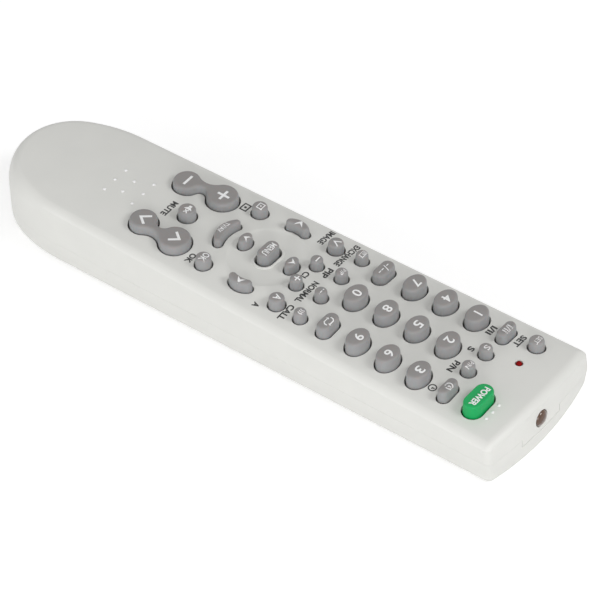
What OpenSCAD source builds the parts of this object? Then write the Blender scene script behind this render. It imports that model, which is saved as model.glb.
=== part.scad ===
// Universal remote control: a wedge-shaped two-part case with 37 rubber keys,
// a board, two AAA cells and a sliding battery cover. Millimetres.
// The underside is the plane z = 0, +Y points to the infrared end.
// Keys are laid out in the tilted plane of the face, see on_face().

/* [Case] */
// Overall length
case_l = 188.8; // [176:0.2:200]
// Width at the infrared end
case_w = 50.6; // [48:0.2:56]
// Width where the tail begins to curve
tail_w = 42.8; // [41:0.2:48]
// Thickness at mid length
case_h = 19.1; // [18:0.1:22]
// Tilt of the key face over the underside, degrees
face_tilt = 2.14; // [1.6:0.02:2.6]
// Radius of the crown across the face
crown_r = 205; // [160:5:400]
// Radius of the tail in plan
tail_r = 19.5; // [18:0.1:20]
// Radius of the shoulder that leads into the tail
shoulder_r = 40; // [30:1:60]
// Radius of the slightly bowed infrared end
end_r = 180; // [120:5:400]
// Plan corner radius at the infrared end
corner_r = 4; // [3.8:0.1:6]
// Fillet along the upper edge
edge_r = 3.2; // [2:0.1:3.4]
// Fillet along the lower edge
base_r = 3.2; // [2:0.1:3.4]
// Draft of the walls away from the parting line, per side
draft = 0.4; // [0.1:0.05:0.6]
// Wall thickness
wall = 2; // [1.6:0.1:2.4]
// Thickness of the face at its crest
face_t = 2.7; // [2.4:0.1:3]
// Height of the parting line over the underside
part_z = 7.8; // [7:0.1:9]
// Width and depth of the groove at the parting line
reveal = 0.15; // [0.1:0.05:0.5]
// Half width of the tongue around the emitter
tongue_w = 9.2; // [7:0.1:11]
// Height of the tongue's lower edge
tongue_z = 5.5; // [5:0.1:5.8]

/* [Keys] */
// Width of the collar around the menu key
collar_w = 0.75; // [0.4:0.05:1]
// Gap between a key and its hole
key_gap = 0.3; // [0.2:0.02:0.4]
// Travel of a key
key_travel = 1; // [0.6:0.05:1.1]
// Width of the rim that keeps a key under the face
key_rim = 0.6; // [0.4:0.05:0.7]
// Thickness of that rim
rim_t = 0.6; // [0.4:0.05:0.7]
// Inset of a key's top against its foot, per side
key_draft = 0.2; // [0.1:0.02:0.3]
// Rounding of a key's upper edge
key_round = 0.8; // [0.4:0.05:0.9]
// Height of the number keys over the face
digit_h = 3.9; // [3:0.1:4.4]
// Height of the power key
power_h = 3.8; // [2.8:0.1:4.4]
// Height of the other keys
key_h = 3.5; // [2.6:0.1:4.2]
// Height of the two rockers
rocker_h = 2.6; // [2.2:0.1:3.4]
// Tilt of a rocker to either side, degrees
rocker_tilt = 5; // [3:0.5:6]

/* [Layout] */
// Row of the power key
power_y = 80.5; // [80:0.1:81]
// Row of the sound and timer keys
mode_y = 71; // [70.5:0.1:71.5]
// Middle row of the numbers
digit_y = 50.1; // [49.6:0.1:50.6]
// Distance of the number rows
digit_row = 10.8; // [10.4:0.05:11]
// Distance of the number columns in the middle row
digit_col = 14.1; // [13.6:0.05:14.4]
// Growth of that distance from row to row
digit_fan = 0.2; // [0:0.02:0.3]
// Row of the four picture keys
picture_y = 19.7; // [19.4:0.1:20]
// Row below it
adjust_y = 10.8; // [10.5:0.1:11]
// Centre of the menu cluster
menu_y = -3.1; // [-3.5:0.1:-2.8]
// Row of the two round keys under the cluster
ok_y = -16.4; // [-16.8:0.1:-16]
// Mute key
mute_y = -32.4; // [-32.8:0.1:-32]
// Waist of the rockers
rocker_y = -35; // [-35.4:0.1:-34.6]

/* [Inside] */
// Thickness of the keypad sheet
sheet_t = 0.6; // [0.4:0.05:0.7]
// Thickness of the board
board_t = 1.2; // [1:0.1:1.6]
// Cell diameter
cell_d = 10.5; // [10:0.1:10.5]
// Cell length with its button
cell_l = 44.5; // [43:0.1:44.5]
// Distance between the cell axes
cell_pitch = 11.4; // [11:0.1:12]
// Wire diameter of the contact springs
wire_d = 0.7; // [0.5:0.05:0.8]
// Curls of a contact spring
spring_curls = 2.5; // [2:0.5:2.5]
// Battery cover thickness
cover_t = 1.5; // [1.4:0.1:2]
// Half width of the battery cover
cover_w = 13.6; // [13.4:0.1:14]
// Sliding clearance around the cover
cover_gap = 0.3; // [0.2:0.05:0.4]

/* [Hidden] */
$fn = 48;

pale = [0.86, 0.86, 0.85];
grey = [0.58, 0.56, 0.55];
green = [0.14, 0.62, 0.33];
steel = [0.75, 0.75, 0.77];

// Case outline in plan: bowed end, corner, straight side, shoulder, tail.
ir_y = case_l / 2;
tail_y = tail_r - case_l / 2;
taper = atan((case_w - tail_w) / 2 / (ir_y - tail_y));
side_n = [cos(taper), -sin(taper)];
side_d = [sin(taper), cos(taper)];
end_c = [0, ir_y - end_r];
corner_m = [case_w / 2, ir_y] - corner_r * side_n - end_c;
corner_s = corner_m * side_d;
corner_c = end_c + corner_m + side_d * (sqrt(pow(corner_s, 2) - corner_m * corner_m
    + pow(end_r - corner_r, 2)) - corner_s);
corner_a = atan2(corner_c[1] - end_c[1], corner_c[0] - end_c[0]);
tail_c = [0, tail_y];
side_off = side_n * ([tail_w / 2, tail_y] - tail_c);
shoulder_a = taper + acos((shoulder_r - side_off) / (shoulder_r - tail_r));
shoulder_c = tail_c + (tail_r - shoulder_r) * [cos(shoulder_a), -sin(shoulder_a)];

function arc(c, r, a0, a1, n, from = 0) =
    [for (i = [from:n]) let (a = a0 + (a1 - a0) * i / n) c + r * [cos(a), sin(a)]];
function half_outline(d) = concat(
    arc(end_c, end_r - d, 90, corner_a, 4),
    arc(corner_c, corner_r - d, corner_a, -taper, 5, 1),
    arc(shoulder_c, shoulder_r - d, -taper, -shoulder_a, 4),
    arc(tail_c, tail_r - d, -shoulder_a, -90, 8, 1));
HALF = len(half_outline(0)) - 1;
RING = 2 * HALF;
function outline(d) = let (h = half_outline(d))
    [for (i = [0:RING - 1]) i <= HALF ? [-h[i][0], h[i][1]] : h[RING - i]];

// Height of the crowned, tilted face over a point of the plan.
function crown(x) = crown_r - sqrt(pow(crown_r, 2) - x * x);
function face_z(x, y) = case_h - y * tan(face_tilt) - crown(x);

STEPS = 4;
COLS = 8;
low_rings = [for (k = [0:STEPS]) let (a = 90 * k / STEPS)
    [draft + base_r * (1 - sin(a)), base_r * (1 - cos(a))]];
high_rings = [for (k = [0:STEPS]) let (a = 90 * k / STEPS)
    [draft + edge_r * (1 - cos(a)), -edge_r * (1 - sin(a))]];
function low_ring(r) = [for (p = outline(r[0])) [p[0], p[1], r[1]]];
function high_ring(r) = [for (p = outline(r[0])) [p[0], p[1], face_z(p[0], p[1]) + r[1]]];
function flat_list(l) = [for (a = l) for (b = a) b];
LEVELS = 2 * STEPS + 3;
cap_0 = (LEVELS - 1) * RING;
// Vertex of the face grid: row i along the length, column j from left to right.
function cap_id(i, j) = j == 0 ? cap_0 + i : j == COLS ? cap_0 + RING - i
    : LEVELS * RING + (i - 1) * (COLS - 1) + j - 1;

// The closed outer form of the case.
module case_solid() {
    h = half_outline(draft + edge_r);
    rings = concat([for (r = low_rings) low_ring(r)], [low_ring([0, part_z])],
        [for (r = high_rings) high_ring(r)]);
    grid = [for (i = [1:HALF - 1]) for (j = [1:COLS - 1])
        let (x = -h[i][0] * (1 - 2 * j / COLS)) [x, h[i][1], face_z(x, h[i][1])]];
    polyhedron(concat(flat_list(rings), grid), concat(
        wall_faces(LEVELS, RING), [[for (i = [0:RING - 1]) i]],
        [for (j = [0:COLS - 1]) [cap_0, cap_id(1, j + 1), cap_id(1, j)]],
        [for (i = [1:HALF - 2]) for (j = [0:COLS - 1]) each [
            [cap_id(i, j), cap_id(i, j + 1), cap_id(i + 1, j + 1)],
            [cap_id(i, j), cap_id(i + 1, j + 1), cap_id(i + 1, j)]]],
        [for (j = [0:COLS - 1]) [cap_id(HALF - 1, j), cap_id(HALF - 1, j + 1), cap_0 + HALF]]),
        convexity = 4);
}

function wall_faces(levels, n) = [for (k = [0:levels - 2]) for (i = [0:n - 1])
    let (a = k * n + i, b = k * n + (i + 1) % n) each [[a, a + n, b + n], [a, b + n, b]]];

// A closed skin over rings of equal length.
module loft(rings) {
    n = len(rings[0]);
    m = len(rings);
    polyhedron(flat_list(rings), concat(wall_faces(m, n), [[for (i = [0:n - 1]) i]],
        [[for (i = [0:n - 1]) (m - 1) * n + n - 1 - i]]), convexity = 4);
}

// The plane of the key face: its origin is the crest of the face at mid length.
module on_face() translate([0, 0, case_h]) rotate([-face_tilt, 0, 0]) children();

// Stack under the face, measured from its crest.
rim_play = 0.2;
sheet_play = 0.3;
stem_play = 0.1;
rim_top = -face_t - rim_play;
rim_low = rim_top - rim_t;
sheet_top = rim_low - key_travel - sheet_play;
sheet_low = sheet_top - sheet_t;
board_low = sheet_low - board_t;
stem_low = sheet_low + key_travel + stem_play;
stem_r = 1.5;
BIG = 400;

// Space between the shells, closed by a flat ceiling under the face.
module hollow() intersection() {
    translate([0, 0, wall]) linear_extrude(case_h + 20) polygon(outline(wall + draft));
    on_face() translate([-BIG / 2, -BIG / 2, -BIG - face_t]) cube(BIG);
}

module above(z) translate([-BIG / 2, -BIG / 2, z]) cube(BIG);
module below(z) translate([-BIG / 2, -BIG / 2, z - BIG]) cube(BIG);
module block(x0, x1, y0, y1, z0, z1) translate([x0, y0, z0]) cube([x1 - x0, y1 - y0, z1 - z0]);
module post(x, y, r, z0, z1) translate([x, y, z0]) cylinder(r = r, h = z1 - z0);

// Where the keys sit in the face.
set_x = 15.9;
power_x = 12.95;
mode_x = 14.4;
system_x = 4.3;
entry_x = digit_col - 0.5;
picture_x = 5;
image_x = 14.35;
side_x = 12.8;
ok_x = 13.57;
mute_x = 0.6;
rocker_x = 10.85;
dots_x = 0.5;
lamp = [-7.3, power_y - 0.1];
zero_y = digit_y - 2 * digit_row;
up_y = menu_y + 8.35;
down_y = menu_y - 8.7;
source_y = menu_y - 11.3;
side_stem_x = side_x + 2.5;
source_stem_y = source_y - 5;
function digit_at(c, r) = [c * (digit_col + digit_fan * r), digit_y + r * digit_row];

// Hole sizes: radii, or length and width of the long keys.
set_r = 2.83;
system_r = 2.54;
small_r = 2.42;
ok_r = 2.88;
mute_r = 3.2;
lamp_r = 0.9;
digit_a = 4.73;
digit_b = 3.69;
arrow_a = 3.22;
arrow_b = 2.38;
power_s = [12.1, 6.8];
mode_s = [8.5, 4.5];
entry_s = [9.1, 5.4];
menu_s = [9, 5.4];
// Outer, corner and hollow radius of a crescent key, and where its hollow is centred.
side_k = [4.56, 1.25, 5, 4.4];
source_k = [7.3, 1.2, 14.9, 12.2];
// Centres and radii of a rocker's two lobes, and the radii of its outer and inner flank.
rocker_up = [0.57, 6.15];
rocker_dn = [-0.75, -5.75];
rocker_r = [5.2, 4.9];
flank_r = [4.7, 1.8];
// Least tip radius of a crescent that is inset.
tip_r = 0.25;

function oval(a, b, n = 28) = [for (i = [0:n - 1]) [a * cos(360 * i / n), b * sin(360 * i / n)]];
// Crescent inset by d, bulging to +X.
function crescent(k, d) = let (ro = k[0] - d, rc = max(k[1] - d, tip_r), ri = k[2] + d,
    x = (pow(ri + rc, 2) - pow(ro - rc, 2) - pow(k[3], 2)) / (2 * k[3]),
    y = sqrt(pow(ro - rc, 2) - x * x), a = atan2(y, x), b = atan2(y, x + k[3]))
    concat(arc([0, 0], ro, -a, a, 14), arc([x, y], rc, a, 180 + b, 5, 1),
        arc([-k[3], 0], ri, b, -b, 6, 1), arc([x, -y], rc, 180 - b, 360 - a, 4, 1));
// Rocker inset by d about its waist: two lobes joined by hollow flanks; k is -1 for the left one.
function flank_at(side) = flank_r[side > 0 ? 0 : 1];
function flank(side) = let (p = rocker_up, q = rocker_dn, e = q - p, l = norm(e),
    r1 = rocker_r[0] + flank_at(side), r2 = rocker_r[1] + flank_at(side),
    t = (l * l + r1 * r1 - r2 * r2) / (2 * l), w = sqrt(r1 * r1 - t * t))
    p + e / l * t + side * w * [-e[1], e[0]] / l;
function angle_of(v) = atan2(v[1], v[0]);
function turn(a, lo) = a < lo ? a + 360 : a;
function flip(pts) = [for (i = [len(pts) - 1:-1:0]) [-pts[i][0], pts[i][1]]];
function dumbbell(d, k = 1) = k < 0 ? flip(dumbbell(d)) : let (f1 = flank(1), f0 = flank(-1),
    a1 = angle_of(f1 - rocker_up), a0 = angle_of(f0 - rocker_up),
    b1 = angle_of(f1 - rocker_dn), b0 = angle_of(f0 - rocker_dn))
    concat(arc(rocker_up, rocker_r[0] - d, a1, turn(a0, a1), 14),
        arc(f0, flank_r[1] + d, a0 + 180, b0 + 180 > a0 + 180 ? b0 - 180 : b0 + 180, 4, 1),
        arc(rocker_dn, rocker_r[1] - d, b0, turn(b1, b0), 14, 1),
        arc(f1, flank_r[0] + d, b1 - 180, a1 - 180, 4, 1));
function lift(pts, z) = [for (p = pts) [p[0], p[1], z]];

module long_2d(s) {
    for (k = [-1, 1]) translate([k * (s[0] - s[1]) / 2, 0]) circle(d = s[1]);
    square([s[0] - s[1], s[1]], center = true);
}

// One key place after another, each with the shape of its hole.
module at(x, y) translate([x, y, 0]) children();
module key_holes() {
    at(-set_x, power_y) circle(set_r);
    at(power_x, power_y) long_2d(power_s);
    at(lamp[0], lamp[1]) circle(lamp_r + key_gap);
    for (k = [-1, 1]) {
        at(k * mode_x, mode_y) long_2d(mode_s);
        at(k * system_x, mode_y) circle(system_r);
        at(k * entry_x, zero_y) long_2d(entry_s);
        at(k * picture_x, picture_y) circle(small_r);
        at(k * 3 * picture_x, picture_y) circle(small_r);
        at(k * picture_x, adjust_y) circle(small_r);
        at(k * image_x, adjust_y) circle(ok_r);
        at(k * ok_x, ok_y) circle(ok_r);
        at(k * side_x, menu_y) rotate(90 - 90 * k) polygon(crescent(side_k, 0));
    }
    for (r = [-1:1]) for (c = [-1:1]) at(digit_at(c, r)[0], digit_at(c, r)[1])
        polygon(oval(digit_a, digit_b));
    at(0, zero_y) polygon(oval(digit_a, digit_b));
    at(0, up_y) polygon(oval(arrow_a, arrow_b));
    at(0, down_y) polygon(oval(arrow_a, arrow_b));
    at(0, menu_y) long_2d(menu_s);
    at(0, source_y) rotate(-90) polygon(crescent(source_k, 0));
    at(mute_x, mute_y) circle(mute_r);
    for (k = [-1, 1]) at(k * rocker_x, rocker_y) polygon(dumbbell(0, k));
}
// Raised dots for the finger: three over the power key, eight on the tail.
dot_r = 0.5;
dot_h = 0.3;
dots = concat([for (x = [-3.1, 0, 2.9]) [power_x + x, power_y + 4.85]],
    [for (y = [-24.6, -14]) for (x = [-5.1, 0, 5.1]) [dots_x + x, rocker_y + y]],
    [for (x = [-2.7, 2.7]) [dots_x + x, rocker_y - 19.5]]);
module dot() translate([0, 0, -dot_h])
    cylinder(r1 = 1.2 * dot_r, r2 = dot_r * 0.6, h = 2 * dot_h, $fn = 10);

// Cells and the bay that holds them, measured from the tail.
bay_room = 10;
bay_tail = bay_room - ir_y;
contact_room = 6.5;
bay_l = cell_l + contact_room;
bay_wall = 1.2;
bay_play = 0.5;
bay_w = cell_pitch / 2 + cell_d / 2 + bay_play;
cell_play = 0.15;
cell_z = cover_t + cover_gap + cell_d / 2 + cell_play;
roof_z = cell_z + cell_d / 2 + cell_play;
roof_t = 0.7;
floor_z = 1;
board_gap = 0.3;

// Shells
ir_x = 1.7;
ir_r = 3;
ir_lip = 0.7;
ir_z = tongue_z + ir_lip + ir_r;
boss_y = [bay_tail + 26.4, bay_tail + 9.4];
boss_z = case_h - 2.9;
boss_r = 2.6;
pilot_r = 1.15;
pilot_l = 4;
dish_r = 12.3;
dish_t = 0.3;
// Shallow dish around the menu key, flat in the middle and steep at its edge.
module dish() rotate_extrude() polygon(concat([[0, face_t]],
    [for (k = [0, 0.4, 0.6, 0.75, 0.85, 0.93, 1]) [k * dish_r, -dish_t * (1 - pow(k, 6))]],
    [[dish_r + 1, dish_t], [dish_r + 1, face_t]]));
tongue_l = wall + 1.5;
module tongue(gap) block(-tongue_w - gap, tongue_w + gap, ir_y - tongue_l, ir_y + 5,
    tongue_z - gap, part_z + 1);

module top_shell() color(pale) difference() {
    union() {
        difference() {
            intersection() {
                case_solid();
                union() {
                    above(part_z);
                    tongue(0);
                }
            }
            hollow();
        }
        intersection() {
            for (y = boss_y) post(0, y, boss_r, boss_z, 2 * case_h);
            on_face() below(-face_t / 2);
        }
        on_face() for (p = dots) translate([p[0], p[1], -crown(p[0])]) dot();
    }
    for (y = boss_y) post(0, y, pilot_r, boss_z - 1, boss_z + pilot_l);
    on_face() {
        translate([0, 0, -face_t - 1]) linear_extrude(face_t + 4) key_holes();
        for (k = [-1, 1]) rocker_pocket(k);
        difference() {
            translate([0, menu_y, 0]) dish();
            translate([0, menu_y, -face_t]) linear_extrude(2 * face_t)
                long_2d(menu_s + 2 * collar_w * [1, 1]);
        }
    }
    translate([ir_x, ir_y - tongue_l - 2, ir_z]) rotate([-90, 0, 0]) cylinder(r = ir_r, h = 12);
}

cover_end = bay_tail + bay_l + 3;
rail_w = 1;
rail_wall = 1.5;
rail_roof = 1.4;
lip_t = 0.75;
rail_z = cover_t + cover_gap;
board_tail = rocker_y - 16;
board_front = ir_y - 9.9;
pillars = [[15.5, board_front - 0.5], [16, zero_y + 5.5], [15, menu_y - 8.9]];
pillar_r = 1.8;
seat = 0.05;
tongue_play = 0.1;

// Path of the cover, widened by gap on every side.
module cover_path(gap, tail) {
    block(-cover_w - gap, cover_w + gap, tail, cover_end + gap, -1, cover_t + gap);
    block(-cover_w - rail_w - gap, cover_w + rail_w + gap, tail, cover_end + gap,
        lip_t + cover_gap - gap, cover_t + gap);
}

module bottom_shell() color(pale) difference() {
    union() {
        difference() {
            intersection() {
                case_solid();
                below(part_z);
            }
            hollow();
            tongue(tongue_play);
            difference() {
                translate([0, 0, part_z - reveal]) linear_extrude(2) polygon(outline(-2));
                translate([0, 0, part_z - reveal - 1]) linear_extrude(4) polygon(outline(reveal));
            }
        }
        intersection() {
            case_solid();
            block(-cover_w - rail_w - rail_wall, cover_w + rail_w + rail_wall, -ir_y,
                cover_end + rail_wall, floor_z, rail_z + rail_roof);
        }
        difference() {
            block(-bay_w - bay_wall, bay_w + bay_wall, bay_tail - bay_wall,
                bay_tail + bay_l + bay_wall, floor_z, roof_z + roof_t);
            on_face() above(board_low - board_gap);
        }
        for (y = boss_y) post(0, y, head_r + 1.1, roof_z, boss_z - seat);
        intersection() {
            for (p = pillars) for (k = [-1, 1]) post(k * p[0], p[1], pillar_r, floor_z, case_h);
            on_face() below(board_low - seat);
        }
    }
    cover_path(cover_gap, -ir_y - 5);
    block(-bay_w, bay_w, bay_tail, bay_tail + bay_l, floor_z, roof_z);
    for (y = boss_y) {
        post(0, y, head_r + screw_play, roof_z - 1, roof_z + head_t + seat);
        post(0, y, screw_r + screw_play, roof_z, boss_z + 1);
    }
}

grip_w = 6;
grip_y = 7.6;
grip_pitch = 1.6;
grip_t = 0.5;
module battery_cover() color(pale) difference() {
    intersection() {
        case_solid();
        cover_path(0, -ir_y - 1);
    }
    for (k = [0:4]) translate([0, cover_end - grip_y - grip_pitch * k, 0])
        block(-grip_w, grip_w, -grip_pitch / 4, grip_pitch / 4, -1, grip_t);
}

// Board and what is on it
board_play = 0.5;
sheet_inset = 0.3;
stem_gap = 0.4;
flange_r = lamp_r + 0.4;
flange_t = 1;
lamp_sink = 0.5;
module board_2d(d) intersection() {
    polygon(outline(wall + draft + d));
    translate([-BIG / 2, board_tail + d]) square([BIG, board_front - board_tail - 2 * d]);
}
stems = concat([[-set_x, power_y], [power_x, power_y], [mute_x, mute_y], [0, zero_y],
    [0, up_y], [0, down_y], [0, menu_y], [0, source_stem_y]],
    [for (k = [-1, 1]) each [[k * mode_x, mode_y], [k * system_x, mode_y], [k * entry_x, zero_y],
        [k * picture_x, picture_y], [k * 3 * picture_x, picture_y], [k * picture_x, adjust_y],
        [k * image_x, adjust_y], [k * ok_x, ok_y], [k * side_stem_x, menu_y],
        [k * (rocker_x + rocker_up[0]), rocker_y + rocker_up[1]],
        [k * (rocker_x + rocker_dn[0]), rocker_y + rocker_dn[1]]]],
    [for (r = [-1:1]) for (c = [-1:1]) digit_at(c, r)]);

module keypad_sheet() color([0.5, 0.48, 0.47]) on_face() translate([0, 0, sheet_low])
    linear_extrude(sheet_t) difference() {
        board_2d(board_play + sheet_inset);
        for (p = stems) translate(p) circle(stem_r + stem_gap);
        translate(lamp) circle(flange_r + key_gap);
    }

module circuit_board() color([0.62, 0.5, 0.26]) on_face() translate([0, 0, board_low])
    linear_extrude(board_t) board_2d(board_play);

led_r = 2.5;
led_l = 4.7;
led_back = led_l + led_r;
leg_r = 0.25;
leg_gap = 0.02;
led_leg_z = case_h - board_front * sin(face_tilt) + board_low * cos(face_tilt) - leg_r - 2 * leg_gap;
// The tip of the emitter is flush with the end of the case, its legs pass under the board.
module ir_led() color([0.55, 0.42, 0.36]) {
    translate([ir_x, ir_y - led_back, ir_z]) rotate([-90, 0, 0]) rotate_extrude()
        polygon(concat([[0, 0], [led_r + 0.3, 0], [led_r + 0.3, flange_t], [led_r, flange_t]],
            arc([0, led_l], led_r, 0, 90, 6)));
    for (k = [-1, 1]) translate([ir_x + k * led_r / 2, ir_y - led_back - led_l, led_leg_z])
        rotate([-90, 0, 0]) cylinder(r = leg_r, h = led_l + 0.2);
}

module indicator_led() color([0.42, 0.1, 0.09]) on_face() translate([lamp[0], lamp[1], sheet_low])
    rotate_extrude() polygon(concat([[0, 0], [flange_r, 0], [flange_r, flange_t], [lamp_r, flange_t]],
        arc([0, -sheet_low - lamp_sink], lamp_r, 0, 90, 5)));

// Parts under the board; their legs end just below it.
chip_y = digit_y + 6;
resonator_at = [11, mode_y - 1];
can_at = [-14, mode_y + 5];
body_at = [6, mode_y + 8];
tube_x = [-10, -5, 10];
tube_y = zero_y + 11.5;
chip = [18, 7.6, 2.35];
chip_pitch = 2.2;
module control_chip() color([0.12, 0.12, 0.13]) on_face() translate([0, chip_y, board_low]) {
    block(-chip[0] / 2, chip[0] / 2, -chip[1] / 2, chip[1] / 2, -chip[2] - 0.15, -0.15);
    for (i = [-3.5:3.5]) for (k = [-1, 1]) translate([i * chip_pitch, k * (chip[1] / 2 + 0.7), 0])
        block(-leg_r, leg_r, -0.9, 0.9, -2 * leg_r, -leg_gap);
}

resonator = [7, 2.8, 4.5];
module ceramic_resonator() color([0.85, 0.6, 0.2]) on_face()
    translate([resonator_at[0], resonator_at[1], board_low]) {
    block(-resonator[0] / 2, resonator[0] / 2, -resonator[1] / 2, resonator[1] / 2,
        -resonator[2] - 1, -1);
    for (k = [-1, 1]) post(resonator[0] * 0.36 * k, 0, leg_r, -1.2, -leg_gap);
}

can_r = 2.5;
can_l = 9;
module storage_capacitor() color([0.15, 0.2, 0.4]) on_face()
    translate([can_at[0], can_at[1], board_low - can_r - 0.1]) {
        rotate([0, 90, 0]) cylinder(r = can_r, h = can_l);
        for (k = [-1, 1]) translate([can_l - 0.2, k, 0]) {
            rotate([0, 90, 0]) cylinder(r = leg_r, h = 1.2);
            post(0.95, 0, leg_r, 0, can_r + 0.1 - leg_gap);
        }
    }

body_r = 2.4;
body_l = 4.5;
module driver_transistor() color([0.1, 0.1, 0.11]) on_face()
    translate([body_at[0], body_at[1], board_low]) {
    translate([0, 0, -body_l - 1]) intersection() {
        cylinder(r = body_r, h = body_l);
        block(-body_r, body_r, -body_r * 0.6, body_r, -1, body_l + 1);
    }
    for (k = [-1:1]) post(body_r * 0.54 * k, 0, leg_r, -1.2, -leg_gap);
}

tube_r = 0.9;
tube_l = 4.4;
module resistors() color([0.72, 0.6, 0.42]) on_face() for (x = tube_x)
    translate([x, tube_y, board_low - tube_r - 0.1]) {
        translate([0, -tube_l / 2, 0]) rotate([-90, 0, 0]) cylinder(r = tube_r, h = tube_l);
        for (k = [-1, 1]) {
            translate([0, k * (tube_l / 2 + 0.7), 0]) rotate([90, 0, 0])
                cylinder(r = leg_r, h = 1.8, center = true);
            post(0, k * (tube_l / 2 + 1.35), leg_r, -0.2, tube_r + 0.1 - leg_gap);
        }
    }

// Cells and contacts
plate_t = 0.5;
plate_w = 4.6;
plate_h = 4;
plate_gap = 0.1;
spring_l = 4.6;
spring_r = 2.8;
button_r = 1.9;
button_l = 1.2;
tail_seat = bay_tail + plate_gap + plate_t;
front_seat = bay_tail + bay_l - plate_gap - plate_t;
module cell() {
    rotate([-90, 0, 0]) cylinder(d = cell_d, h = cell_l - button_l);
    translate([0, cell_l / 2, 0]) rotate([-90, 0, 0]) cylinder(r = button_r, h = cell_l / 2);
}
module cell_left() color([0.2, 0.3, 0.5])
    translate([-cell_pitch / 2, tail_seat + spring_l + seat, cell_z]) cell();
module cell_right() color([0.2, 0.3, 0.5])
    translate([cell_pitch / 2, front_seat - spring_l - seat, cell_z]) rotate([0, 0, 180]) cell();

// Round wire along a helix with straight ends, standing on y = 0.
CURL = 8;
SIDES = 6;
coil_l = spring_l - 2 * wire_d;
turns_n = round(spring_curls * CURL);
function coil(i) = let (t = i / turns_n, a = 360 * spring_curls * t)
    [spring_r * cos(a), wire_d + coil_l * t, spring_r * sin(a)];
spring_path = concat([[spring_r, 0, 0]], [for (i = [0:turns_n]) coil(i)],
    [coil(turns_n) + [0, wire_d, 0]]);
last_p = len(spring_path) - 1;
function unit(v) = v / norm(v);
function heading(i) = i == 0 || i == last_p ? [0, 1, 0]
    : unit(spring_path[i + 1] - spring_path[i - 1]);
function wire_ring(i) = let (t = heading(i), p = spring_path[i],
    u = unit([p[0], 0, p[2]] - ([p[0], 0, p[2]] * t) * t), v = cross(t, u))
    [for (k = [0:SIDES - 1]) let (a = -360 * k / SIDES)
        p + wire_d / 2 * (cos(a) * u + sin(a) * v)];
// Least distance between the wire's own curls, from points at least half a curl apart.
spring_gap = min([for (i = [0:last_p]) for (j = [i:last_p]) if (j - i > CURL / 2)
    norm(spring_path[i] - spring_path[j])]) - wire_d;
echo(spring_self_gap = spring_gap);
module spring() loft([for (i = [0:last_p]) wire_ring(i)]);
module spring_tail() color(steel) translate([-cell_pitch / 2, tail_seat + leg_gap, cell_z]) spring();
module spring_front() color(steel)
    translate([cell_pitch / 2, front_seat - leg_gap, cell_z]) rotate([0, 0, 180]) spring();
module tail_bridge() color(steel) block(-cell_pitch / 2 - plate_w, cell_pitch / 2 + plate_w,
    tail_seat - plate_t, tail_seat, cell_z - plate_h, cell_z + plate_h);
module front_plate(x) block(x - plate_w, x + plate_w, front_seat, front_seat + plate_t,
    cell_z - plate_h, cell_z + plate_h);
module front_plate_plus() color(steel) front_plate(-cell_pitch / 2);
module front_plate_minus() color(steel) front_plate(cell_pitch / 2);

head_r = 2.3;
head_t = 1.55;
screw_r = 1.1;
screw_play = 0.25;
slot = [0.35, 1.6, 0.8];
module case_screws() color(steel) for (y = boss_y) translate([0, y, roof_z]) {
    difference() {
        cylinder(r = head_r, h = head_t);
        block(-slot[0], slot[0], -slot[1], slot[1], -1, slot[2]);
        block(-slot[1], slot[1], -slot[0], slot[0], -1, slot[2]);
    }
    cylinder(r = screw_r, h = boss_z + pilot_l - 0.4 - roof_z);
}

// Keys: z = 0 is the crest of the face, drop() follows the crown at the key's place.
function drop(x) = -crown(x);
key_crown = 0.12;
// Radius of the flat top of a key of hole radius r.
function key_flat(r) = r - key_gap - key_draft - key_round;
function key_side(r, h) = concat([[r + key_rim, rim_low], [r + key_rim, rim_top],
    [r - key_gap, rim_top], [r - key_gap, 0]],
    arc([key_flat(r), h - key_crown - key_round], key_round, 0, 75, 4));
// Half section of a round key of hole radius r and height h.
function key_half(r, h) = concat([[0, stem_low], [stem_r, stem_low], [stem_r, rim_low]],
    key_side(r, h), [[key_flat(r) / 2, h - key_crown / 3], [0, h]]);
function key_full(r, h) = let (s = concat(key_side(r, h), [[key_flat(r) / 2, h - key_crown / 3]]),
    n = len(s))
    concat(s, [[0, h]], [for (i = [n - 1:-1:0]) [-s[i][0], s[i][1]]]);

module round_key(x, y, r, h) on_face() translate([x, y, 0])
    rotate_extrude() polygon(key_half(r, h + drop(x)));
module long_key(x, y, s, h) on_face() translate([x, y, 0]) {
    for (k = [-1, 1]) translate([k * (s[0] - s[1]) / 2, 0, 0]) rotate([0, 0, -90 * k])
        rotate_extrude(angle = 180) polygon([for (p = key_half(s[1] / 2, h + drop(x)))
            if (p[1] > stem_low + 0.01) p[1] < rim_low + 0.01 && p[0] < stem_r + 0.01
                ? [0, rim_low] : p]);
    rotate([90, 0, 90]) translate([0, 0, -(s[0] - s[1]) / 2]) linear_extrude(s[0] - s[1])
        polygon(key_full(s[1] / 2, h + drop(x)));
    post(0, 0, stem_r, stem_low, rim_low + 0.1);
}

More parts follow.
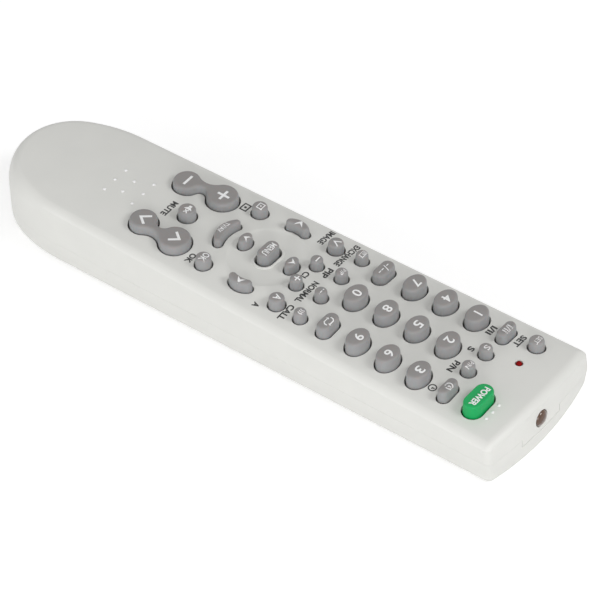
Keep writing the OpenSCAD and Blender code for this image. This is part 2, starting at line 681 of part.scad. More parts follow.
// Insets and heights of a lofted key from its rim to its top.
function key_levels(h, dome) = concat([[-key_rim, rim_low], [-key_rim, rim_top],
    [key_gap, rim_top], [key_gap, 0]],
    [for (a = [0:30:60]) [key_gap + key_draft + key_round * (1 - cos(a)),
        h - dome - key_round * (1 - sin(a))]],
    [[key_gap + key_draft + key_round, h - dome]]);
module oval_key(x, y, a, b, h, dome) on_face() translate([x, y, 0]) {
    loft(concat([for (l = key_levels(h + drop(x), dome)) lift(oval(a - l[0], b - l[0]), l[1])],
        [lift(oval((a - 1) * 0.62, (b - 1) * 0.62), h + drop(x) - dome * 0.3),
         lift(oval((a - 1) * 0.25, (b - 1) * 0.25), h + drop(x))]));
    post(0, 0, stem_r, stem_low, rim_low + 0.1);
}
module crescent_key(x, y, turn_a, k, h, stem) on_face() translate([x, y, 0]) rotate([0, 0, turn_a]) {
    loft([for (l = key_levels(h, 0)) lift(crescent(k, l[0]), l[1])]);
    post(stem, 0, stem_r, stem_low, rim_low + 0.1);
}
digit_dome = 0.45;
module digit(c, r) color(grey) oval_key(digit_at(c, r)[0], digit_at(c, r)[1], digit_a, digit_b,
    digit_h, digit_dome);

module key_power() color(green) long_key(power_x, power_y, power_s, power_h);
module key_set() color(grey) round_key(-set_x, power_y, set_r, key_h);
module key_sound() color(grey) long_key(-mode_x, mode_y, mode_s, key_h);
module key_system() color(grey) round_key(-system_x, mode_y, system_r, key_h);
module key_norm() color(grey) round_key(system_x, mode_y, system_r, key_h);
module key_timer() color(grey) long_key(mode_x, mode_y, mode_s, key_h);
module key_1() digit(-1, 1);
module key_2() digit(0, 1);
module key_3() digit(1, 1);
module key_4() digit(-1, 0);
module key_5() digit(0, 0);
module key_6() digit(1, 0);
module key_7() digit(-1, -1);
module key_8() digit(0, -1);
module key_9() digit(1, -1);
module key_0() digit(0, -2);
module key_entry() color(grey) long_key(-entry_x, zero_y, entry_s, key_h);
module key_recall() color(grey) long_key(entry_x, zero_y, entry_s, key_h);
module key_swap() color(grey) round_key(-3 * picture_x, picture_y, small_r, key_h);
module key_pip() color(grey) round_key(-picture_x, picture_y, small_r, key_h);
module key_normal() color(grey) round_key(picture_x, picture_y, small_r, key_h);
module key_call() color(grey) round_key(3 * picture_x, picture_y, small_r, key_h);
module key_image() color(grey) round_key(-image_x, adjust_y, ok_r, key_h);
module key_minus() color(grey) round_key(-picture_x, adjust_y, small_r, key_h);
module key_plus() color(grey) round_key(picture_x, adjust_y, small_r, key_h);
module key_auto() color(grey) round_key(image_x, adjust_y, ok_r, key_h);
module key_up() color(grey) oval_key(0, up_y, arrow_a, arrow_b, key_h, 0.2);
module key_down() color(grey) oval_key(0, down_y, arrow_a, arrow_b, key_h, 0.2);
module key_left() color(grey) crescent_key(-side_x, menu_y, 180, side_k, key_h + drop(side_x),
    side_stem_x - side_x);
module key_right() color(grey) crescent_key(side_x, menu_y, 0, side_k, key_h + drop(side_x),
    side_stem_x - side_x);
module key_menu() color(grey) long_key(0, menu_y, menu_s, key_h);
module key_source() color(grey) crescent_key(0, source_y, -90, source_k, key_h,
    source_y - source_stem_y);
module key_screen() color(grey) round_key(-ok_x, ok_y, ok_r, key_h);
module key_ok() color(grey) round_key(ok_x, ok_y, ok_r, key_h);
module key_mute() color(grey) round_key(mute_x, mute_y, mute_r, key_h);

// A rocker turns on two pins in pockets under the face; each lobe has a stem over a contact.
pin_r = 0.5;
pin_l = 1.2;
pin_play = 0.25;
pivot_z = 0.95 - face_t;
waist = [for (k = [-1, 1]) flank(k)[0] - k * sqrt(pow(flank_at(k), 2) - pow(flank(k)[1], 2))];
rocker_low = sheet_top + sheet_play + (rocker_up[1] + rocker_r[0]) * sin(rocker_tilt);
rocker_stem = sheet_low + stem_play + (stem_r - rocker_dn[1]) * sin(rocker_tilt);
module rocker(k) translate([k * rocker_x, rocker_y, 0]) {
    h = rocker_h + drop(rocker_x);
    loft([for (l = concat([[key_gap, rocker_low]], [for (l = key_levels(h, 0)) if (l[1] >= 0) l]))
        lift(dumbbell(l[0], k), l[1])]);
    translate([min(k * waist) - pin_l, 0, pivot_z]) rotate([0, 90, 0])
        cylinder(r = pin_r, h = waist[1] - waist[0] + 2 * pin_l, $fn = 16);
    for (p = [rocker_up, rocker_dn]) post(k * p[0], p[1], stem_r, rocker_stem, rocker_low + 0.1);
}
module rocker_pocket(k) translate([k * rocker_x, rocker_y, 0])
    block(min(k * waist) - pin_l - pin_play, max(k * waist) + pin_l + pin_play, -pin_r - pin_play,
        pin_r + pin_play, -face_t - 1, pivot_z + pin_r + pin_play);
module channel_rocker() color(grey) on_face() rocker(1);
module volume_rocker() color(grey) on_face() rocker(-1);

top_shell();
bottom_shell();
battery_cover();
keypad_sheet();
circuit_board();
ir_led();
indicator_led();
control_chip();
ceramic_resonator();
storage_capacitor();
driver_transistor();
resistors();
cell_left();
cell_right();
spring_tail();
spring_front();
tail_bridge();
front_plate_plus();
front_plate_minus();
case_screws();
key_power();
key_set();
key_sound();
key_system();
key_norm();
key_timer();
key_1();
key_2();
key_3();
key_4();
key_5();
key_6();
key_7();
key_8();
key_9();
key_entry();
key_0();
key_recall();
key_swap();
key_pip();
key_normal();
key_call();
key_image();
key_minus();
key_plus();
key_auto();
key_up();
key_down();
key_left();
key_right();
key_menu();
key_source();
key_ok();
key_screen();
key_mute();
volume_rocker();
channel_rocker();
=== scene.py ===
import math
from typing import NamedTuple

import bmesh
import bpy
from bpy.props import FloatProperty, FloatVectorProperty, PointerProperty
from mathutils import Matrix, Vector
from mathutils.bvhtree import BVHTree


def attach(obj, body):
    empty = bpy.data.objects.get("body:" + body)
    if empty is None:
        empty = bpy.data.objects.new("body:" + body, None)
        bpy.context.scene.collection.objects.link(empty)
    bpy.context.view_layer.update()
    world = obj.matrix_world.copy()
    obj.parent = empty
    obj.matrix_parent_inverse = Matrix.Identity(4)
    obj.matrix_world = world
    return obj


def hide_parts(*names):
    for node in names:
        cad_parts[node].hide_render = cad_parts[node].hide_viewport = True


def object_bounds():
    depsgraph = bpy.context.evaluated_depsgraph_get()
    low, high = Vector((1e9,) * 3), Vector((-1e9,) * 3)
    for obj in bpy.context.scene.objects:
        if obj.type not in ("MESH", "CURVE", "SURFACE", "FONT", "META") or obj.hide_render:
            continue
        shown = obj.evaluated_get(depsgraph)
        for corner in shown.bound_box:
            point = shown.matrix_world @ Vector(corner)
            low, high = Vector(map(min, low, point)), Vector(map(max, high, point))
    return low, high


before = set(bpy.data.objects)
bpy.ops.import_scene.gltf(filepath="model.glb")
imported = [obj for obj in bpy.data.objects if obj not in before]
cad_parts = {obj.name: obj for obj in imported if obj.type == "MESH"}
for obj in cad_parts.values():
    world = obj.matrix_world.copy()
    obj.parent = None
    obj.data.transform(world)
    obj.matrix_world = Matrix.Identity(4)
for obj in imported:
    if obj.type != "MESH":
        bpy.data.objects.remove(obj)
CAD_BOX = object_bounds()

bl_info = {
    "name": "Remote control",
    "version": (1, 0, 0),
    "blender": (4, 5, 0),
    "location": "3D View > Sidebar > Remote",
    "description": "Case, keys, legends and stage of a remote control",
    "category": "Object",
}

# Shapes are worked out in millimetres and become metres when a mesh is made.
MM = 0.001


def length(name, description, millimetres):
    """A length that a user may change."""
    return FloatProperty(
        name=name, description=description, default=millimetres * MM, unit="LENGTH", precision=5
    )


def colour(name, description, value):
    """A linear colour that a user may change."""
    return FloatVectorProperty(
        name=name, description=description, default=value, size=3, min=0, max=1, subtype="COLOR"
    )


def size_names(group):
    """Names of the values that a property group holds."""
    names = [prop.identifier for prop in group.bl_rna.properties]
    return [name for name in names if name not in ("rna_type", "name")]


class RemoteCaseSizes(bpy.types.PropertyGroup):
    """Sizes of the two shells."""

    long: length("Length", "Overall length", (CAD_BOX[1].y - CAD_BOX[0].y) / MM)
    width: length("Width", "Width at the infrared end", 50.6)
    tail_width: length("Tail width", "Width where the tail begins to curve", 42.8)
    high: length("Height", "Thickness at mid length", 19.1)
    tilt: FloatProperty(
        name="Tilt",
        description="Tilt of the key face over the underside",
        default=math.radians(2.14),
        subtype="ANGLE",
    )
    crown: length("Crown", "Radius of the crown across the face", 205)
    tail: length("Tail", "Radius of the tail in plan", 19.5)
    shoulder: length("Shoulder", "Radius that leads into the tail", 40)
    bow: length("Bow", "Radius of the bowed infrared end", 180)
    corner: length("Corner", "Plan radius of the front corners", 2.6)
    edge: length("Edge", "Fillet along the upper edge", 3.2)
    ridge: length("Ridge", "Fillet where the upper edge meets the wall", 0.4)
    base: length("Base", "Fillet along the lower edge of the sides", 2.35)
    base_end: length("Base at the end", "Fillet along the lower edge of the infrared end", 0.5)
    bulge: length("Bulge", "How far the wall swells at the tail", 1.0)
    tail_edge: length("Tail edge", "Height of the upper rounding at the tail", 7)
    tail_base: length("Tail base", "Height of the lower rounding at the tail", 6)
    tail_foot: length("Tail foot", "Inset of the lower rounding at the tail", 2.6)
    draft: length("Draft", "Inset of the walls away from the parting line", 0.4)
    wall: length("Wall", "Wall thickness", 2)
    face: length("Face", "Thickness of the face at its crest", 2.7)
    parting: length("Parting", "Height of the parting line", 7.8)
    joint: length("Joint", "Width of the groove along the sides", 0.05)
    seam: length("Seam", "Width of the gap around the tongue", 0.16)
    tongue: length("Tongue", "Half width of the tongue around the emitter", 9.0)
    tongue_low: length("Tongue edge", "Height of the tongue's lower edge", 5.1)
    rim: length("Hole rim", "Rounding of the rims of the key holes", 0.08)


class RemoteKeySizes(bpy.types.PropertyGroup):
    """Sizes that the keys share."""

    gap: length("Gap", "Gap between a key and its hole", 0.48)
    draft: length("Draft", "Inset of a key's top against its foot", 0.1)
    digit: length("Number keys", "Height of the number keys", 3.9)
    digit_edge: length("Number edge", "Rounding of the number keys", 1.0)
    power: length("Power key", "Height of the power key", 3.8)
    power_edge: length("Power edge", "Rounding of the power key", 0.55)
    plain: length("Other keys", "Height of the other keys", 3.5)
    plain_edge: length("Other edges", "Rounding of the other keys", 0.9)
    arrow: length("Arrow keys", "Height of the two middle arrow keys", 2.8)
    side: length("Side crescents", "Height of the crescent keys beside the dish", 3.0)
    source: length("Lower crescent", "Height of the crescent key below the dish", 2.6)
    side_edge: length("Crescent edge", "Rounding of the crescent keys", 1.25)
    rocker: length("Rockers", "Height of the two rockers", 2.6)
    rocker_edge: length("Rocker edge", "Rounding of the two rockers", 1.0)
    foot: length("Foot", "Depth of a key below the face", 3)


class RemoteColours(bpy.types.PropertyGroup):
    """Colours of the outside."""

    case: colour("Case", "Pale plastic of the shells", (0.70, 0.70, 0.67))
    key: colour("Keys", "Grey silicone of the key tops", (0.262, 0.25, 0.244))
    # Painted light: this paler, cooler colour on the key walls stands in for the light they catch
    # from the sides and from the pale case around them.
    key_wall: colour("Key walls", "Paler silicone of the key walls", (0.305, 0.305, 0.31))
    power: colour("Power key", "Green silicone of the power key", (0.008, 0.36, 0.1))
    legend: colour("Legends", "White print on the keys", (0.83, 0.83, 0.83))
    sign: colour("Signs", "Grey-white print on the small keys", (0.74, 0.73, 0.73))
    label: colour("Labels", "Black print on the face", (0.02, 0.02, 0.02))
    lamp: colour("Lamp", "Red lens of the indicator", (0.24, 0.005, 0.005))
    emitter: colour("Emitter", "Tinted lens of the infrared emitter", (0.08, 0.033, 0.013))


# Outlines in plan: each gives the points of the shape inset by d, counter-clockwise.

CIRCLE_STEPS = 56
OVAL_STEPS = 64
END_STEPS = 24


def arc(centre, radius, start, end, steps, first=0):
    """Points on an arc, angles in degrees."""
    points = []
    for i in range(first, steps + 1):
        a = math.radians(start + (end - start) * i / steps)
        points.append((centre[0] + radius * math.cos(a), centre[1] + radius * math.sin(a)))
    return points


def round_outline(radius):
    """Circle."""
    return lambda d: arc((0, 0), radius - d, 0, 360, CIRCLE_STEPS)[:-1]


def long_outline(size):
    """Bar with round ends, of a length and a width."""
    half = (size[0] - size[1]) / 2

    def points(d):
        r = size[1] / 2 - d
        return arc((half, 0), r, -90, 90, END_STEPS) + arc((-half, 0), r, 90, 270, END_STEPS)

    return points


def oval_outline(a, b):
    """Oval of two half axes."""

    def points(d):
        turns = [math.tau * i / OVAL_STEPS for i in range(OVAL_STEPS)]
        return [((a - d) * math.cos(t), (b - d) * math.sin(t)) for t in turns]

    return points


# Least radius at the tips of an inset crescent, and steps along its outer arc, tips and hollow
TIP = 0.25
CRESCENT_STEPS = (36, 12, 20)


def crescent_outline(outer, corner, hollow, reach):
    """Crescent that bulges to +X: outer, corner and hollow radius, and the hollow's distance."""

    def points(d):
        ro, rc, ri = outer - d, max(corner - d, TIP), hollow + d
        x = ((ri + rc) ** 2 - (ro - rc) ** 2 - reach**2) / (2 * reach)
        y = math.sqrt((ro - rc) ** 2 - x * x)
        a, b = math.degrees(math.atan2(y, x)), math.degrees(math.atan2(y, x + reach))
        back, tips, inside = CRESCENT_STEPS
        return (
            arc((0, 0), ro, -a, a, back)
            + arc((x, y), rc, a, 180 + b, tips, 1)
            + arc((-reach, 0), ri, b, -b, inside, 1)
            + arc((x, -y), rc, 180 - b, 360 - a, tips, 1)[:-1]
        )

    return points


# Centres and radii of a rocker's upper and lower lobe, radii of its outer and inner flank,
# and steps along a lobe and a flank
ROCKER_UP = Vector((0.57, 6.45))
ROCKER_DOWN = Vector((-0.45, -6.0))
ROCKER_LOBES = (5.35, 4.75)
ROCKER_FLANKS = (4.7, 1.8)
ROCKER_STEPS = (36, 14)


def rocker_outline(mirror):
    """Two lobes joined by hollow flanks; mirror is -1 for the left rocker."""
    between = ROCKER_DOWN - ROCKER_UP
    span = between.length
    across = Vector((-between.y, between.x)) / span

    def flank(side, radius):
        upper, lower = [r + radius for r in ROCKER_LOBES]
        along = (span**2 + upper**2 - lower**2) / (2 * span)
        return ROCKER_UP + between / span * along + across * side * math.sqrt(upper**2 - along**2)

    def bearing(tip, base):
        return math.degrees(math.atan2(tip.y - base.y, tip.x - base.x)) % 360

    outer, inner = flank(1, ROCKER_FLANKS[0]), flank(-1, ROCKER_FLANKS[1])
    up_outer, up_inner = bearing(outer, ROCKER_UP), bearing(inner, ROCKER_UP)
    low_outer, low_inner = bearing(outer, ROCKER_DOWN), bearing(inner, ROCKER_DOWN)

    def points(d):
        lobe, bend = ROCKER_STEPS
        shape = (
            arc(ROCKER_UP, ROCKER_LOBES[0] - d, up_outer - 360, up_inner, lobe)
            + arc(inner, ROCKER_FLANKS[1] + d, up_inner - 180, low_inner - 180, bend, 1)
            + arc(ROCKER_DOWN, ROCKER_LOBES[1] - d, low_inner, low_outer + 360, lobe, 1)
            + arc(outer, ROCKER_FLANKS[0] + d, low_outer + 180, up_outer - 180, bend, 1)[:-1]
        )
        if mirror < 0:
            shape = [(-x, y) for x, y in reversed(shape)]
        return shape

    return points


# Case

# Least plan radius of an inset corner
CORNER_LEAST = 0.3
# Slope at which the crisp ridge of the upper edge runs into its wide fillet
EDGE_TURN = math.radians(30)
# Lengthwise part of the outward direction over which the sides turn into the tail and the end
TAIL_TURN = (0.03, 0.6)
END_TURN = (0.2, 0.8)
# The end's own lower edge fades with the square of the distance from this place across it.
END_FALL = 1.3
END_PEAK = 4.5
# Steps along half of the bowed end, a corner, a side, a shoulder and half of the tail
BOW_STEPS = 10
CORNER_STEPS = 12
SIDE_STEPS = 16
SHOULDER_STEPS = 12
TAIL_STEPS = 24
# Steps across the face, up the lower rounding, and along the ridge and fillet of the upper edge
FACE_STEPS = 28
BASE_STEPS = 8
RIDGE_STEPS = 4
EDGE_STEPS = 10


def smooth(value, low, high):
    """Soft step from 0 at low to 1 at high."""
    t = min(1, max(0, (value - low) / (high - low)))
    return t * t * (3 - 2 * t)


class CaseForm:
    """Outline, crowned face and face plane of the case, in millimetres."""

    def __init__(self, sizes):
        for name in size_names(sizes):
            setattr(self, name, getattr(sizes, name) / MM)
        self.tilt = sizes.tilt
        self.front = self.long / 2
        self.tail_y = self.tail - self.long / 2
        run = self.front - self.tail_y
        taper = math.atan((self.width - self.tail_width) / 2 / run)
        self.side_n = Vector((math.cos(taper), -math.sin(taper)))
        self.side_d = Vector((math.sin(taper), math.cos(taper)))
        self.bow_c = Vector((0, self.front - self.bow))
        self.taper = math.degrees(taper)
        off = self.side_n.x * self.tail_width / 2
        lead = (self.shoulder - off) / (self.shoulder - self.tail)
        self.shoulder_a = self.taper + math.degrees(math.acos(lead))
        a = math.radians(self.shoulder_a)
        turn = Vector((math.cos(a), -math.sin(a)))
        self.tail_c = Vector((0, self.tail_y))
        self.shoulder_c = self.tail_c + (self.tail - self.shoulder) * turn
        lift = Matrix.Translation((0, 0, self.high))
        self.plane = lift @ Matrix.Rotation(-self.tilt, 4, "X")
        self.shares = [self.share(*pair) for pair in zip(self.ring(0), self.ring(1))]

    def corner_at(self, e):
        """Centre of a front corner, e inside the side and the end, and its bearing."""
        inner = Vector((self.width / 2, self.front)) - e * self.side_n - self.bow_c
        s = inner.dot(self.side_d)
        step = math.sqrt(s * s - inner.dot(inner) + (self.bow - e) ** 2) - s
        reach = inner + self.side_d * step
        return self.bow_c + reach, math.degrees(math.atan2(reach.y, reach.x))

    def half(self, d):
        """Right half of the outline inset by d, from the front to the tail."""
        e = max(self.corner, d + CORNER_LEAST)
        centre, bearing = self.corner_at(e)
        bow = arc(self.bow_c, self.bow - d, 90, bearing, BOW_STEPS)
        corner = arc(centre, e - d, bearing, -self.taper, CORNER_STEPS, 1)
        bend = (-self.taper, -self.shoulder_a)
        shoulder = arc(self.shoulder_c, self.shoulder - d, *bend, SHOULDER_STEPS)
        a, b = Vector(corner[-1]), Vector(shoulder[0])
        side = [tuple(a.lerp(b, i / SIDE_STEPS)) for i in range(1, SIDE_STEPS)]
        tail = arc(self.tail_c, self.tail - d, -self.shoulder_a, -90, TAIL_STEPS, 1)
        return bow + corner + side + shoulder + tail

    def ring(self, d):
        """Whole outline inset by d."""
        half = self.half(d)
        return [(-x, y) for x, y in half] + half[-2:0:-1]

    def share(self, outer, inner):
        """Shares of the sides, the tail and the end in a point of the outline, taken from
        its outward direction: inner is the same point, 1 mm further in."""
        out = outer[1] - inner[1]
        tail = smooth(-out, *TAIL_TURN)
        off = 2 * (outer[0] - END_PEAK) / self.width
        end = smooth(out, *END_TURN) * (1 - END_FALL * off**2)
        return 1 - tail - end, tail, end

    def wall_ring(self, *pairs):
        """Ring from an inset and a height each for the sides, the tail and the end."""
        points = []
        for share, *spots in zip(self.shares, *[self.ring(d) for d, z in pairs]):
            x = sum(w * spot[0] for w, spot in zip(share, spots))
            y = sum(w * spot[1] for w, spot in zip(share, spots))
            points.append((x, y, sum(w * pair[1] for w, pair in zip(share, pairs))))
        return points

    def sag(self, x):
        """How far the crowned face lies below its crest at x."""
        return self.crown - math.sqrt(self.crown**2 - x * x)

    def top(self, x, y):
        """Height of the face over a point of the plan."""
        return self.high - y * math.tan(self.tilt) - self.sag(x)

    def on_face(self, points):
        """Points of the face plane, moved to the part's own frame."""
        return [tuple(self.plane @ Vector(p)) for p in points]


def case_form(context):
    """The case form for the sizes in the panel."""
    return CaseForm(context.scene.remote_case)


# Meshes

# Points closer than this, in metres, are one.
MERGE = 1e-7


def new_object(name, mesh):
    """Object in the scene for a mesh."""
    piece = bpy.data.objects.new(name, mesh)
    bpy.context.scene.collection.objects.link(piece)
    return piece


def mesh_from(name, points, faces):
    """Closed mesh from points in millimetres, with its faces turned outwards."""
    mesh = bpy.data.meshes.new(name)
    mesh.from_pydata([Vector(p) * MM for p in points], [], faces)
    bm = bmesh.new()
    bm.from_mesh(mesh)
    bmesh.ops.remove_doubles(bm, verts=bm.verts, dist=MERGE)
    bmesh.ops.recalc_face_normals(bm, faces=bm.faces)
    bm.to_mesh(mesh)
    bm.free()
    return mesh


def loft(rings):
    """Points and faces of a closed skin over rings of equal length."""
    n, points, faces = len(rings[0]), [], []
    for ring in rings:
        points += ring
    for k in range(len(rings) - 1):
        for i in range(n):
            a, b = k * n + i, k * n + (i + 1) % n
            faces.append((a, b, b + n, a + n))
    last = (len(rings) - 1) * n
    faces.append(tuple(range(n - 1, -1, -1)))
    faces.append(tuple(range(last, last + n)))
    return points, faces


def join(*solids):
    """Several (points, faces) as one."""
    points, faces = [], []
    for p, f in solids:
        start = len(points)
        points += p
        faces += [tuple(start + i for i in face) for face in f]
    return points, faces


def rectangle(x0, x1, y0, y1):
    """Corners of a rectangle."""
    return [(x0, y0), (x1, y0), (x1, y1), (x0, y1)]


def lifted(plan, z):
    """Points of a plan at a height."""
    return [(x, y, z) for x, y in plan]


def block(x0, x1, y0, y1, z0, z1):
    """Points and faces of a box."""
    return loft([lifted(rectangle(x0, x1, y0, y1), z) for z in (z0, z1)])


def lathe(profile, steps=48):
    """Points and faces of a profile of (radius, height) turned about Z."""
    rings = []
    for r, z in profile:
        turns = [math.tau * i / steps for i in range(steps)]
        rings.append([(r * math.cos(t), r * math.sin(t), z) for t in turns])
    return loft(rings)


def baked(piece):
    """Turns a piece's modifiers into plain mesh."""
    graph = bpy.context.evaluated_depsgraph_get()
    done = bpy.data.meshes.new_from_object(
        piece.evaluated_get(graph), preserve_all_data_layers=True, depsgraph=graph
    )
    old = piece.data
    piece.modifiers.clear()
    piece.data = done
    bpy.data.meshes.remove(old)
    return piece


def carve(piece, solid, operation="DIFFERENCE"):
    """Cuts, joins or keeps what piece and solid have in common."""
    tool = new_object("tool", mesh_from("tool", *solid))
    step = piece.modifiers.new("carve", "BOOLEAN")
    step.operation, step.object, step.solver = operation, tool, "MANIFOLD"
    baked(piece)
    mesh = tool.data
    bpy.data.objects.remove(tool)
    bpy.data.meshes.remove(mesh)
    if not piece.data.polygons:
        raise RuntimeError(f"nothing is left of {piece.name}")


def taken(piece):
    """Points and faces of a helper piece, which leaves the scene."""
    points = [vertex.co / MM for vertex in piece.data.vertices]
    faces = [tuple(face.vertices) for face in piece.data.polygons]
    bpy.data.objects.remove(piece)
    return points, faces


def finish_shape(piece, angle=38):
    """Smooth shading with crisp edges over an angle in degrees."""
    bm = bmesh.new()
    bm.from_mesh(piece.data)
    bmesh.ops.remove_doubles(bm, verts=bm.verts, dist=2 * MERGE)
    bmesh.ops.dissolve_degenerate(bm, edges=bm.edges, dist=MERGE)
    bm.to_mesh(piece.data)
    bm.free()
    piece.data.shade_smooth()
    piece.data.set_sharp_from_angle(angle=math.radians(angle))
    weigh = piece.modifiers.new("weigh", "WEIGHTED_NORMAL")
    weigh.keep_sharp = True
    return baked(piece)


def settle(piece, material, body, slot, *nodes):
    """Gives a piece its material, the body it rides on and the nodes it stands for."""
    piece.data.materials.clear()
    piece.data.materials.append(material)
    for face in piece.data.polygons:
        face.material_index = 0
    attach(piece, body)
    if nodes:
        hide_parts(*nodes)


# Materials


def shader(name, base, roughness, **sockets):
    """Material with a Principled shader; sockets are named with underscores for spaces."""
    if name in bpy.data.materials:
        return bpy.data.materials[name], None
    material = bpy.data.materials.new(name)
    material.use_nodes = True
    node = material.node_tree.nodes["Principled BSDF"]
    node.inputs["Base Color"].default_value = (*base, 1)
    node.inputs["Roughness"].default_value = roughness
    for socket, value in sockets.items():
        node.inputs[socket.replace("_", " ")].default_value = value
    return material, node


# Slope, as the upward part of the normal, over which the painted light on a key's walls gives way to
# the colour of its top
PAINTED_WALL_LIGHT_SLOPE = (0.05, 1.0)
# Levels of the noise between which the colour drifts, and how far the roughness drifts
DRIFT = (0.3, 0.7)
ROUGH_DRIFT = 0.06


def grain(material, node, base, roughness, spread, patch, bump, walls):
    """Colour drift, roughness drift and a fine bump on the piece's own coordinates. Where a colour of
    painted light for the walls is given, the colour goes from it to the base with the slope."""
    tree = material.node_tree
    new, link = tree.nodes.new, tree.links.new
    place = new("ShaderNodeTexCoord")

    def noise(size, detail):
        made = new("ShaderNodeTexNoise")
        made.inputs["Scale"].default_value = 1 / (size * MM)
        made.inputs["Detail"].default_value = detail
        link(place.outputs["Object"], made.inputs["Vector"])
        return made

    ramp = new("ShaderNodeValToRGB")
    low, high = ramp.color_ramp.elements
    if walls:
        # Painted light: walls get the paler colour and tops the base colour, chosen by the slope of
        # the surface.
        part = new("ShaderNodeSeparateXYZ")
        link(place.outputs["Normal"], part.inputs["Vector"])
        low.position, high.position = PAINTED_WALL_LIGHT_SLOPE
        low.color, high.color = (*walls, 1), (*base, 1)
        link(part.outputs["Z"], ramp.inputs["Fac"])
    else:
        low.position, high.position = DRIFT
        low.color = (*[c * (1 - spread) for c in base], 1)
        high.color = (*[min(1, c * (1 + spread)) for c in base], 1)
        link(noise(patch, detail=3).outputs["Fac"], ramp.inputs["Fac"])
    link(ramp.outputs["Color"], node.inputs["Base Color"])
    span = new("ShaderNodeMapRange")
    span.inputs["To Min"].default_value = max(0, roughness - ROUGH_DRIFT)
    span.inputs["To Max"].default_value = min(1, roughness + ROUGH_DRIFT)
    fine = noise(bump[0], detail=2)
    link(fine.outputs["Fac"], span.inputs["Value"])
    link(span.outputs["Result"], node.inputs["Roughness"])
    relief = new("ShaderNodeBump")
    relief.inputs["Strength"].default_value = 1
    relief.inputs["Distance"].default_value = bump[1] * MM
    link(fine.outputs["Fac"], relief.inputs["Height"])
    link(relief.outputs["Normal"], node.inputs["Normal"])


def moulded(name, base, roughness, spread, patch, bump, walls=None, **sockets):
    """A material with grain, made once: spread is the share by which its colour drifts, patch
    the size of that drift, bump the size and height of its skin, in millimetres."""
    material, node = shader(name, base, roughness, **sockets)
    if node is not None:
        grain(material, node, base, roughness, spread, patch, bump, walls)
    return material


# Finishes of the outside: colour, roughness, spread, patch and bump as in moulded, and sockets
OUTSIDE = {
    "case_plastic": ("case", 0.42, 0.012, 9, (0.35, 0.004), {"Specular_IOR_Level": 0.45}),
    "key_silicone": (
        "key", 0.5, 0.015, 3, (0.25, 0.002),
        {"Subsurface_Weight": 0.1, "Subsurface_Scale": 0.5 * MM, "Specular_IOR_Level": 0.4},
    ),
    "power_silicone": (
        "power", 0.45, 0.03, 3, (0.25, 0.002),
        {"Subsurface_Weight": 0.15, "Subsurface_Scale": 1 * MM, "Specular_IOR_Level": 0.3},
    ),
    "legend_ink": ("legend", 0.5, 0.04, 0.6, (0.15, 0.002), {}),
    "sign_ink": ("sign", 0.5, 0.05, 0.6, (0.15, 0.002), {}),
    "label_ink": ("label", 0.45, 0.3, 0.5, (0.15, 0.002), {}),
    "lamp_lens": ("lamp", 0.45, 0.1, 0.8, (0.4, 0.001), {"Specular_IOR_Level": 0.05}),
    "emitter_lens": ("emitter", 0.12, 0.3, 1.5, (0.6, 0.002), {"Coat_Weight": 0.5}),
}


def outside(context, name):
    """Finish of the outside with a colour of the panel; grey keys get painted light, a paler colour,
    on their walls.
    """
    colours = context.scene.remote_colours
    base, *values, sockets = OUTSIDE[name]
    walls = colours.key_wall if name == "key_silicone" else None
    return moulded(name, getattr(colours, base), *values, walls, **sockets)


# Case pieces

# Reach of a cutter through a surface, out of the case, and well past it
PAST = 1
REACH = 4
FAR = 150
# Dish around the menu key, with the power that its depth falls with, and how far its cutter
# goes past its rim and over the face there
DISH_RADIUS = 12.3
DISH_DEPTH = 0.4
DISH_POWER = 10
DISH_PAST = 0.15
DISH_LIFT = 0.02
DISH_RINGS = 24
DISH_STEPS = 96
# Collar in the dish, with the flare and depth of its foot
COLLAR = 0.95
COLLAR_EDGE = 0.3
COLLAR_FOOT = ((0.2, 1.5), (0.12, 0.5))
MENU_GAP = 0.3
# Rings of a rounded rim, in degrees, and how far it opens over the face
RIM_TURN = (20, 40, 60, 75)
RIM_OPEN = 0.12
# Hole of the infrared emitter, and length of the tongue behind the end wall
EMITTER_X = 1.7
EMITTER_Z = 9.2
EMITTER_HOLE = 2.75
EMITTER_RIM = 0.2
EMITTER_DEEP = 6
TONGUE_ROOT = 1.5


def dish_depth(r):
    """Depth of the dish around the menu key at a distance from its centre."""
    return DISH_DEPTH * (1 - min(1, r / DISH_RADIUS) ** DISH_POWER)


def skin(form, x, y):
    """Height of the finished face in the face plane."""
    return -form.sag(x) - dish_depth(math.hypot(x, y - MENU_Y))


def lower_ring(form, a):
    """Ring of the lower rounding at an angle."""
    inset, rise = 1 - math.sin(a), 1 - math.cos(a)
    return form.wall_ring(
        (form.draft + form.base * inset, form.base * rise),
        (form.tail_foot * inset - form.bulge, form.tail_base * rise),
        (form.base_end * inset, form.base_end * rise),
    )


def upper_edge(form):
    """Insets and heights of the upper edge: a crisp ridge, then a wide fillet."""
    c, s = math.cos(EDGE_TURN), math.sin(EDGE_TURN)
    inset = form.draft + form.ridge * (1 - c)
    levels = []
    for k in range(RIDGE_STEPS):
        a = EDGE_TURN * k / RIDGE_STEPS
        drop = form.edge * (1 - s) + form.ridge * (s - math.sin(a))
        levels.append((form.draft + form.ridge * (1 - math.cos(a)), -drop))
    for k in range(EDGE_STEPS + 1):
        a = EDGE_TURN + (math.pi / 2 - EDGE_TURN) * k / EDGE_STEPS
        levels.append((inset + form.edge * (c - math.cos(a)), -form.edge * (1 - math.sin(a))))
    return levels


